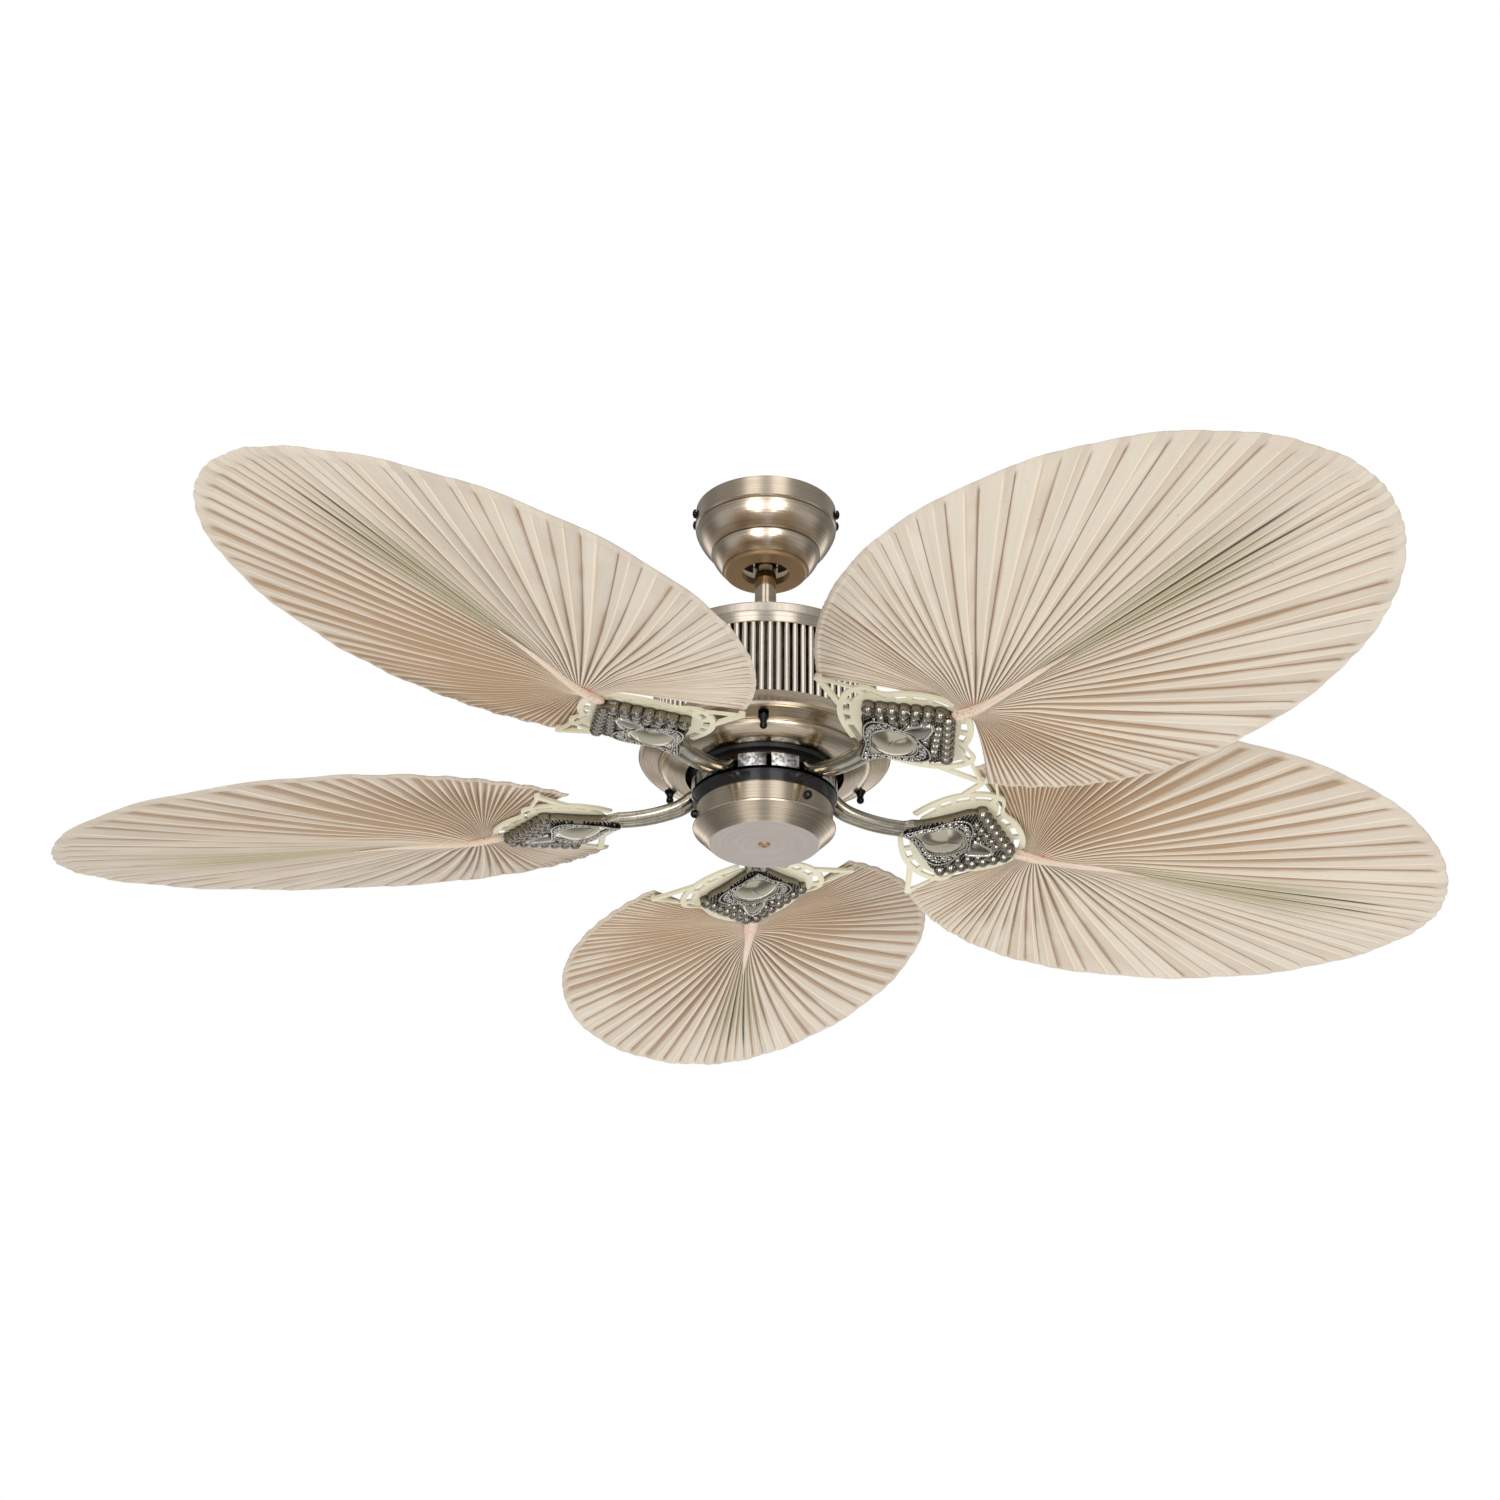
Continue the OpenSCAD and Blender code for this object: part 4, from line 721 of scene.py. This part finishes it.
# Casting in millimetres: places (s, v) from the blade's origin, heights below its plane
relief = {
    "rows": 300, "across": 216, "back": 12,               # grid along, over the front, behind
    "head": -15.45, "tail": -122.5, "backFace": -2.6, "margin": 0.7, "wall": 0.3, "wallShown": 0.3,
    "headRound": 0.8, "tailRound": 6.0, "headGap": 0.05, "tailGap": 0.02,
    "floor": 8.75, "lump": 1.4, "lumpPitch": 1.1, "lumpShown": 0.45,     # hollow under the beads
    "outline": [[-20.5, 0], [-24, 8], [-33, 17], [-45, 30], [-55, 40], [-66, 43.5], [-76, 40], [-85, 31],
                [-98, 19], [-108, 11], [-116, 7.6], [-122, 0]],
    "beads": [  # count, first and last place, radius, depth of the middle, reach inwards
        [7, (-21, 5), (-65, 44), 5.05, 7.95, 0.8], [5, (-35, 8), (-64, 30), 3.75, 8.95, 1.6],
        [3, (-47, 7), (-60, 17), 2.7, 8.6, 1.2]],
    "bulge": 0.25, "footShown": 0.16, "topShown": 0.30,
    "collar": 0.35, "collarAt": 0.62, "collarWidth": 0.35, "collarFrom": 0.5, "collarShown": 0.4,
}
crest = {"from": -34, "foot": -35.5, "top": -57, "end": -58, "width": 9.4, "run": 18.0, "middle": -51,
         "half": 15.5, "floor": 9.6, "dome": 4.2, "shown": 0.35, "rimFloor": 11.7, "rim": 1.1,
         "toeAt": -38, "toe": 1.6}
shield = {
    "edge": [[-57, 0], [-61, 12], [-64, 24], [-72, 33], [-82, 32], [-92, 24], [-101, 13], [-110, 7],
             [-119, 0]],
    "floor": 11.25, "drop": 2.2, "dropAt": (104, 116), "reach": 0.9, "crestTo": -60,
    "scrollPitch": 6.4, "scroll": 1.25, "scrollWall": 0.75, "scrollShare": 0.23, "scrollRange": (0.8, 2.5),
    "scrollInset": (1.7, 2.3), "eye": 1.1, "eyeRadius": 0.9, "rope": 1.05, "ropeRise": 1.15,
    "ropeInset": (0.5, 1.2), "twists": (2.6, 2.4), "strand": 0.20, "lay": 0.8,
    "hollowShown": 0.05, "shownAt": (0.35, 1.05),
}
boss = {"edge": [[-61, 0], [-66, 10], [-72, 17], [-80, 20], [-89, 17], [-99, 8], [-109, 0]],
        "deep": 17.25, "radius": 34.0, "middle": -83.0, "blend": (-0.3, 0.4),
        "crease": 0.27, "creaseWidth": 1.0, "creaseIn": 5,
        "wind": 5.5, "windFrom": -62, "windPitch": 7.6, "windAt": (60, 70)}


# Smooth closed curve through an outline's points and their mirror images
def roundOutline(half, steps=5):
    half = np.array(half, float)
    mirrored = half[::-1][np.abs(half[::-1, 1]) > 1e-6] * [1, -1]
    b = np.vstack([half, mirrored])
    a, c, d = np.roll(b, 1, 0), np.roll(b, -1, 0), np.roll(b, -2, 0)
    t = (np.arange(steps) / steps)[None, :, None]
    a, b, c, d = (points[:, None, :] for points in (a, b, c, d))
    curve = ((2 * b) + (c - a) * t + (2 * a - 5 * b + 4 * c - d) * t**2 + (3 * b - a - 3 * c + d) * t**3) / 2
    return curve.reshape(-1, 2)


# Signed distance of each point to a closed curve, positive inside, and the place along it
def fromCurve(s, v, curve):
    start, end = curve, np.roll(curve, -1, 0)
    step = end - start
    length = np.hypot(step[:, 0], step[:, 1])
    ds, dv = s[..., None] - start[:, 0], v[..., None] - start[:, 1]
    share = np.clip((ds * step[:, 0] + dv * step[:, 1]) / length**2, 0, 1)
    gap = np.hypot(ds - share * step[:, 0], dv - share * step[:, 1])
    nearest = gap.argmin(-1)[..., None]
    begun = np.concatenate([[0], np.cumsum(length)[:-1]])
    passed = np.take_along_axis(share, nearest, -1)[..., 0]
    along = begun[nearest[..., 0]] + passed * length[nearest[..., 0]]
    crossed = (start[:, 1] > v[..., None]) != (end[:, 1] > v[..., None])
    slope = step[:, 0] / np.where(np.abs(step[:, 1]) < 1e-9, 1e-9, step[:, 1])
    before = s[..., None] < start[:, 0] + (v[..., None] - start[:, 1]) * slope
    inside = (crossed & before).sum(-1) % 2 == 1
    return np.take_along_axis(gap, nearest, -1)[..., 0] * np.where(inside, 1, -1), along


# Half width of the casting at each place along the blade, with the outer beads bulging out
def castingWidth(s):
    smooth = roundOutline(relief["outline"], 8)
    smooth = smooth[smooth[:, 1] >= 0]
    smooth = smooth[np.argsort(smooth[:, 0])]
    width = np.interp(s, smooth[:, 0], smooth[:, 1]) + relief["margin"]
    count, first, last, radius = relief["beads"][0][:4]
    radius = radius + relief["bulge"]
    places = np.linspace(first, last, count)
    gap = s[:, None] - places[:, 0]
    bulge = np.where(np.abs(gap) < radius, places[:, 1] + crown(gap, radius), 0).max(1)
    tailEnd = roundEnd((s - relief["tail"]) / relief["tailRound"])
    headEnd = roundEnd((relief["head"] + relief["headGap"] - s) / relief["headRound"])
    return np.maximum(width, bulge) * (tailEnd * headEnd)


# Rows of bullet-shaped beads, each with a collar, over a dark lumpy hollow
def carveBeads(s, v):
    lump = np.abs(np.sin(relief["lumpPitch"] * s) * np.sin(relief["lumpPitch"] * v))
    height = relief["floor"] + relief["lump"] * lump
    proud = relief["lumpShown"] * lump
    for count, first, last, radius, deep, reach in relief["beads"]:
        places = np.linspace(first, last, count)
        row = (places[-1] - places[0]) / np.hypot(*(places[-1] - places[0]))
        inward = np.array([-row[1], row[0]])
        ds = s[..., None] - places[:, 0]
        dv = np.abs(v)[..., None] - places[:, 1]
        along = np.clip(ds * inward[0] + dv * inward[1], 0, reach)
        gap = np.hypot(ds - along * inward[0], dv - along * inward[1]).min(-1)
        bead = np.where(gap < radius, deep + crown(gap, radius), 0)
        collar = bell(gap - radius * relief["collarAt"], relief["collarWidth"])
        collar = relief["collar"] * collar * (bead > 0)
        shown = relief["footShown"] + relief["topShown"] * rise(bead, deep, deep + radius)
        shown = shown + relief["collarShown"] * collar
        proud = np.where(bead > height, shown, proud)
        height = np.maximum(height, bead + collar * (gap > radius * relief["collarFrom"]))
    return height, proud


# Arched crest on the tip's side of the boss, domed, with a bright raised rim
def carveCrest(s, v, height, proud):
    arch = crest["width"] * np.sqrt(np.clip((crest["foot"] - s) / crest["run"], 0, 1))
    arch = arch * (s > crest["end"])
    inArch = (np.abs(v) < arch) & (s > crest["top"])
    dome = hump(v, np.maximum(arch, 1)) * hump(s - crest["middle"], crest["half"])
    height = np.where(inArch, np.maximum(height, crest["floor"] + crest["dome"] * dome), height)
    proud = np.where(inArch, crest["shown"], proud)
    toe = np.where(s < crest["toeAt"], 1.0, crest["toe"])
    rim = crown(np.abs(np.abs(v) - arch) / toe, crest["rim"])
    edge = (rim > 0) & (s > crest["top"]) & (s < crest["from"])
    height = np.where(edge, np.maximum(height, crest["rimFloor"] + rim), height)
    return height, np.where(edge, 1.0, proud)


# Shield: a dark band of small scrolls between two twisted ropes; inShield and inBoss are the
# distances inside its two edges, outer and inner the places along them
def carveShield(s, height, proud, inShield, outer, inBoss, inner):
    band = inShield > -shield["reach"]
    floor = shield["floor"] + shield["drop"] * rise(-s, *shield["dropAt"])
    height = np.where(band, np.maximum(floor, np.where(s > shield["crestTo"], height, 0)), height)
    pitch = shield["scrollPitch"]
    ring = (np.mod(outer, pitch) / pitch - 0.5) * pitch
    curl = np.hypot(ring, (inShield + inBoss) / 2)
    size = np.clip((inShield - inBoss) * shield["scrollShare"], *shield["scrollRange"])
    loop = shield["scroll"] * hump(curl - size, shield["scrollWall"])
    loop = loop + shield["eye"] * hump(curl, shield["eyeRadius"])
    fromOuter, fromInner = shield["scrollInset"]
    loop = np.where(band & (inBoss < -fromInner) & (inShield > fromOuter), loop, 0)
    for place, gap, inset, twist in zip((outer, inner), (inShield, -inBoss), shield["ropeInset"],
                                        shield["twists"]):
        gap = gap - inset
        turned = np.sin(2 * np.pi * (place + gap * shield["lay"]) / twist)
        strands = 1 - shield["strand"] + shield["strand"] * turned
        rope = shield["ropeRise"] * crown(gap, shield["rope"]) * strands
        loop = np.maximum(loop, np.where(band, rope, 0))
    hollow = shield["hollowShown"]
    return height + loop, np.where(band, hollow + (1 - hollow) * rise(loop, *shield["shownAt"]), proud)


# Carving over the casting's plain solid: its height, how proud it stands, and the boss, a
# smooth dome with one soft crease winding along it
def carve(s, v):
    inShield, outer = fromCurve(s, v, roundOutline(shield["edge"]))
    inBoss, inner = fromCurve(s, v, roundOutline(boss["edge"]))
    height, proud = carveBeads(s, v)
    height, proud = carveCrest(s, v, height, proud)
    height, proud = carveShield(s, height, proud, inShield, outer, inBoss, inner)
    dome = crown(np.hypot(s - boss["middle"], v), boss["radius"]) - boss["deep"]
    winding = boss["wind"] * np.sin((s - boss["windFrom"]) / boss["windPitch"]) * rise(-s, *boss["windAt"])
    crease = boss["crease"] * bell(v - winding, boss["creaseWidth"]) * rise(inBoss, 0, boss["creaseIn"])
    height = np.where(inBoss > 0, np.maximum(dome + crease, height), height)
    return height, np.clip(proud, 0, 1), rise(inBoss, *boss["blend"])


# Casting: each row across the blade is a closed loop, carved in front and flat behind
def makeCastings():
    places = np.linspace(relief["head"], relief["tail"] + relief["tailGap"], relief["rows"])
    half = castingWidth(places)[:, None]
    s, across = np.meshgrid(places, np.linspace(-1, 1, relief["across"]), indexing="ij")
    behind, backward = np.meshgrid(places, np.linspace(1, -1, relief["back"]), indexing="ij")
    v = across * half
    height, proud, onBoss = carve(s, v)
    back = np.full_like(behind, relief["backFace"])
    loopS = np.hstack([s, s[:, -1:], behind, s[:, :1]])
    loopV = np.hstack([v, v[:, -1:], backward * half, v[:, :1]])
    loopH = np.hstack([-height, relief["wall"] - height[:, -1:], back, relief["wall"] - height[:, :1]])
    plain = np.zeros((len(places), relief["back"] + 2))
    facts = {"proud": np.hstack([proud, plain + relief["wallShown"]]), "boss": np.hstack([onBoss, plain])}
    castFinish = finish("castPatina", castPatina, Metallic=1.0)
    for k in range(bladeCount):
        points = fromBlade(k, loopS, loopV, loopH)
        piece = gridPiece(f"castingRelief_{k + 1}", points, wrapV=True, facts=facts)
        dress(piece, castFinish, "antique_bronze")


makeCastings()
print("castings carved:", bladeCount)


stage = {"half": 0.8, "floor": -2.45, "dark": (0.80, 0.80, 0.79), "pale": (0.84, 0.84, 0.83)}


def makeStage():
    half, low = stage["half"], stage["floor"]
    corners = [(-half, -half, low), (half, -half, low), (half, half, low), (-half, half, low)]
    mesh = bpy.data.meshes.new("floor")
    mesh.from_pydata(corners, [], [(0, 1, 2, 3)])
    floor = bpy.data.objects.new("floor", mesh)
    bpy.context.scene.collection.objects.link(floor)

    def make(net):
        grain = net.noise(net.place(), 3.0, 2.0)
        return {"Base Color": net.blend(grain, stage["dark"], stage["pale"]),
                "Roughness": 0.8 + (grain - 0.5) * 0.1}
    floor.data.materials.append(finish("paleFloor", make, Metallic=0.0))


# What metal mirrors, by the distance from the middle plane: in front, two tall soft boxes with
# a gap between them and dark flanks; behind, a dim grey room over a paler floor
light = {
    "sky": 0.69, "peak": 1.6, "spots": 4.5, "skyline": 1.0, "ceiling": 0.45,
    "bars": [(0.0, 0.33), (0.10, 0.42), (0.18, 1.0), (0.40, 0.96), (0.52, 0.28), (0.7, 0.20), (1.0, 0.22)],
    "behind": [(0.0, 0.17), (0.3, 0.18), (0.55, 0.38), (0.75, 0.30), (0.9, 0.25)],
    "glow": 0.7, "glowLow": 0.30, "glowEdge": (0.28, 0.05), "foot": (-0.90, -0.55, 0.72, 1.0),
    "floor": (0.35, 0.85, 0.20, 0.68), "floorEdge": (0.02, -0.10), "frontEdge": (0.25, -0.15),
    "ceilingEdge": (0.80, 0.95), "spotAt": (0.31, -0.87, -0.385), "spotEdge": (0.975, 0.997),
    "skylineLow": 0.03, "skylineEdge": (0.16, 0.05), "skylineSide": (0.5, 0.8),
}
# Lamp: place, aim, width and power
lamps = {
    "keyLamp": ((-1.9, -1.7, -1.3), (0, 0, -0.25), 0.9, 30.0),
    "fillLamp": ((2.2, -1.2, -1.2), (0, 0, -0.25), 1.0, 22.0),
    "backLamp": ((0.3, 1.6, -1.7), (0, 0.3, -0.3), 1.0, 13.0),
}


# World: white to the camera, even light on matt surfaces, and the room above for metal
def makeWorld():
    world = bpy.data.worlds.new("studio")
    bpy.context.scene.world = world
    world.use_nodes = True
    net = Net(world.node_tree)
    ray = net.add("ShaderNodeLightPath").socket.node
    through = Wire(net, ray.outputs["Is Transmission Ray"])
    seen = Wire(net, ray.outputs["Is Camera Ray"]).math("MAXIMUM", through)
    mirrored = Wire(net, ray.outputs["Is Glossy Ray"])
    x, y, z = net.parts(net.add("ShaderNodeTexCoord", out="Generated"))
    aside = abs(x)
    bars = net.add("ShaderNodeValToRGB", {"stops": light["bars"]}, [aside]) * light["peak"]
    glow = net.span(abs(z + light["glowLow"]), *light["glowEdge"]) * light["glow"]
    bars = bars * (glow + net.span(z, *light["foot"]))
    behind = net.add("ShaderNodeValToRGB", {"stops": light["behind"]}, [aside])
    low = net.span(y, *light["floor"])
    behind = behind + (low - behind) * net.span(z, *light["floorEdge"])
    room = behind + (bars - behind) * net.span(y, *light["frontEdge"])
    room = room + (light["ceiling"] - room) * net.span(z, *light["ceilingEdge"])
    spotX, spotY, spotZ = light["spotAt"]
    toSpot = aside * spotX + y * spotY + z * spotZ
    room = room + net.span(toSpot, *light["spotEdge"]) * light["spots"]
    line = net.span(abs(z + light["skylineLow"]), *light["skylineEdge"])
    room = room + line * net.span(y, *light["skylineSide"]) * light["skyline"]
    level = net.add("ShaderNodeMix", None, {0: mirrored, 2: light["sky"], 3: room})
    level = net.add("ShaderNodeMix", None, {0: seen, 2: level, 3: 1.0})
    shell = world.node_tree.nodes["Background"]
    shell.inputs["Color"].default_value = (1, 1, 1, 1)
    net.plug(shell.inputs["Strength"], level)


def addLamp(name, place, aim, width, power):
    lamp = bpy.data.lights.new(name, "AREA")
    lamp.shape, lamp.size, lamp.energy = "SQUARE", width, power
    thing = bpy.data.objects.new(name, lamp)
    thing.location = place
    thing.visible_glossy = False
    thing.rotation_euler = (Vector(aim) - Vector(place)).to_track_quat("-Z", "Y").to_euler()
    bpy.context.scene.collection.objects.link(thing)


# Camera: fitted to the photograph, 1500 pixels wide, whose point "at" shows the axis at the hub
view = {"rise": 26.68, "roll": 0.46, "focal": 2843.8, "away": 2.43106, "hub": (0, 0, -0.277),
        "at": (764.46, 790.0), "pixels": 1500}


def makeCamera():
    ascent, roll = math.radians(view["rise"]), math.radians(view["roll"])
    ahead = Vector((0, math.cos(ascent), math.sin(ascent)))
    flat = Vector((1, 0, 0))
    up = flat.cross(ahead)
    right = math.cos(roll) * flat + math.sin(roll) * up
    top = math.cos(roll) * up - math.sin(roll) * flat
    shiftX = (view["at"][0] - view["pixels"] / 2) / view["focal"]
    shiftY = (view["pixels"] / 2 - view["at"][1]) / view["focal"]
    place = Vector(view["hub"]) - view["away"] * (ahead + shiftX * right + shiftY * top)
    lens = bpy.data.cameras.new("camera")
    lens.sensor_width = 36.0
    lens.lens = view["focal"] * lens.sensor_width / view["pixels"]
    lens.clip_start, lens.clip_end = 0.05, 50.0
    camera = bpy.data.objects.new("camera", lens)
    camera.matrix_world = Matrix(((right.x, top.x, -ahead.x, place.x), (right.y, top.y, -ahead.y, place.y),
                                  (right.z, top.z, -ahead.z, place.z), (0, 0, 0, 1)))
    bpy.context.scene.collection.objects.link(camera)
    bpy.context.scene.camera = camera


makeStage()
makeWorld()
makeCamera()
for name, settings in lamps.items():
    addLamp(name, *settings)
bpy.context.scene.view_settings.view_transform = "Standard"
print("stage, light and camera set")
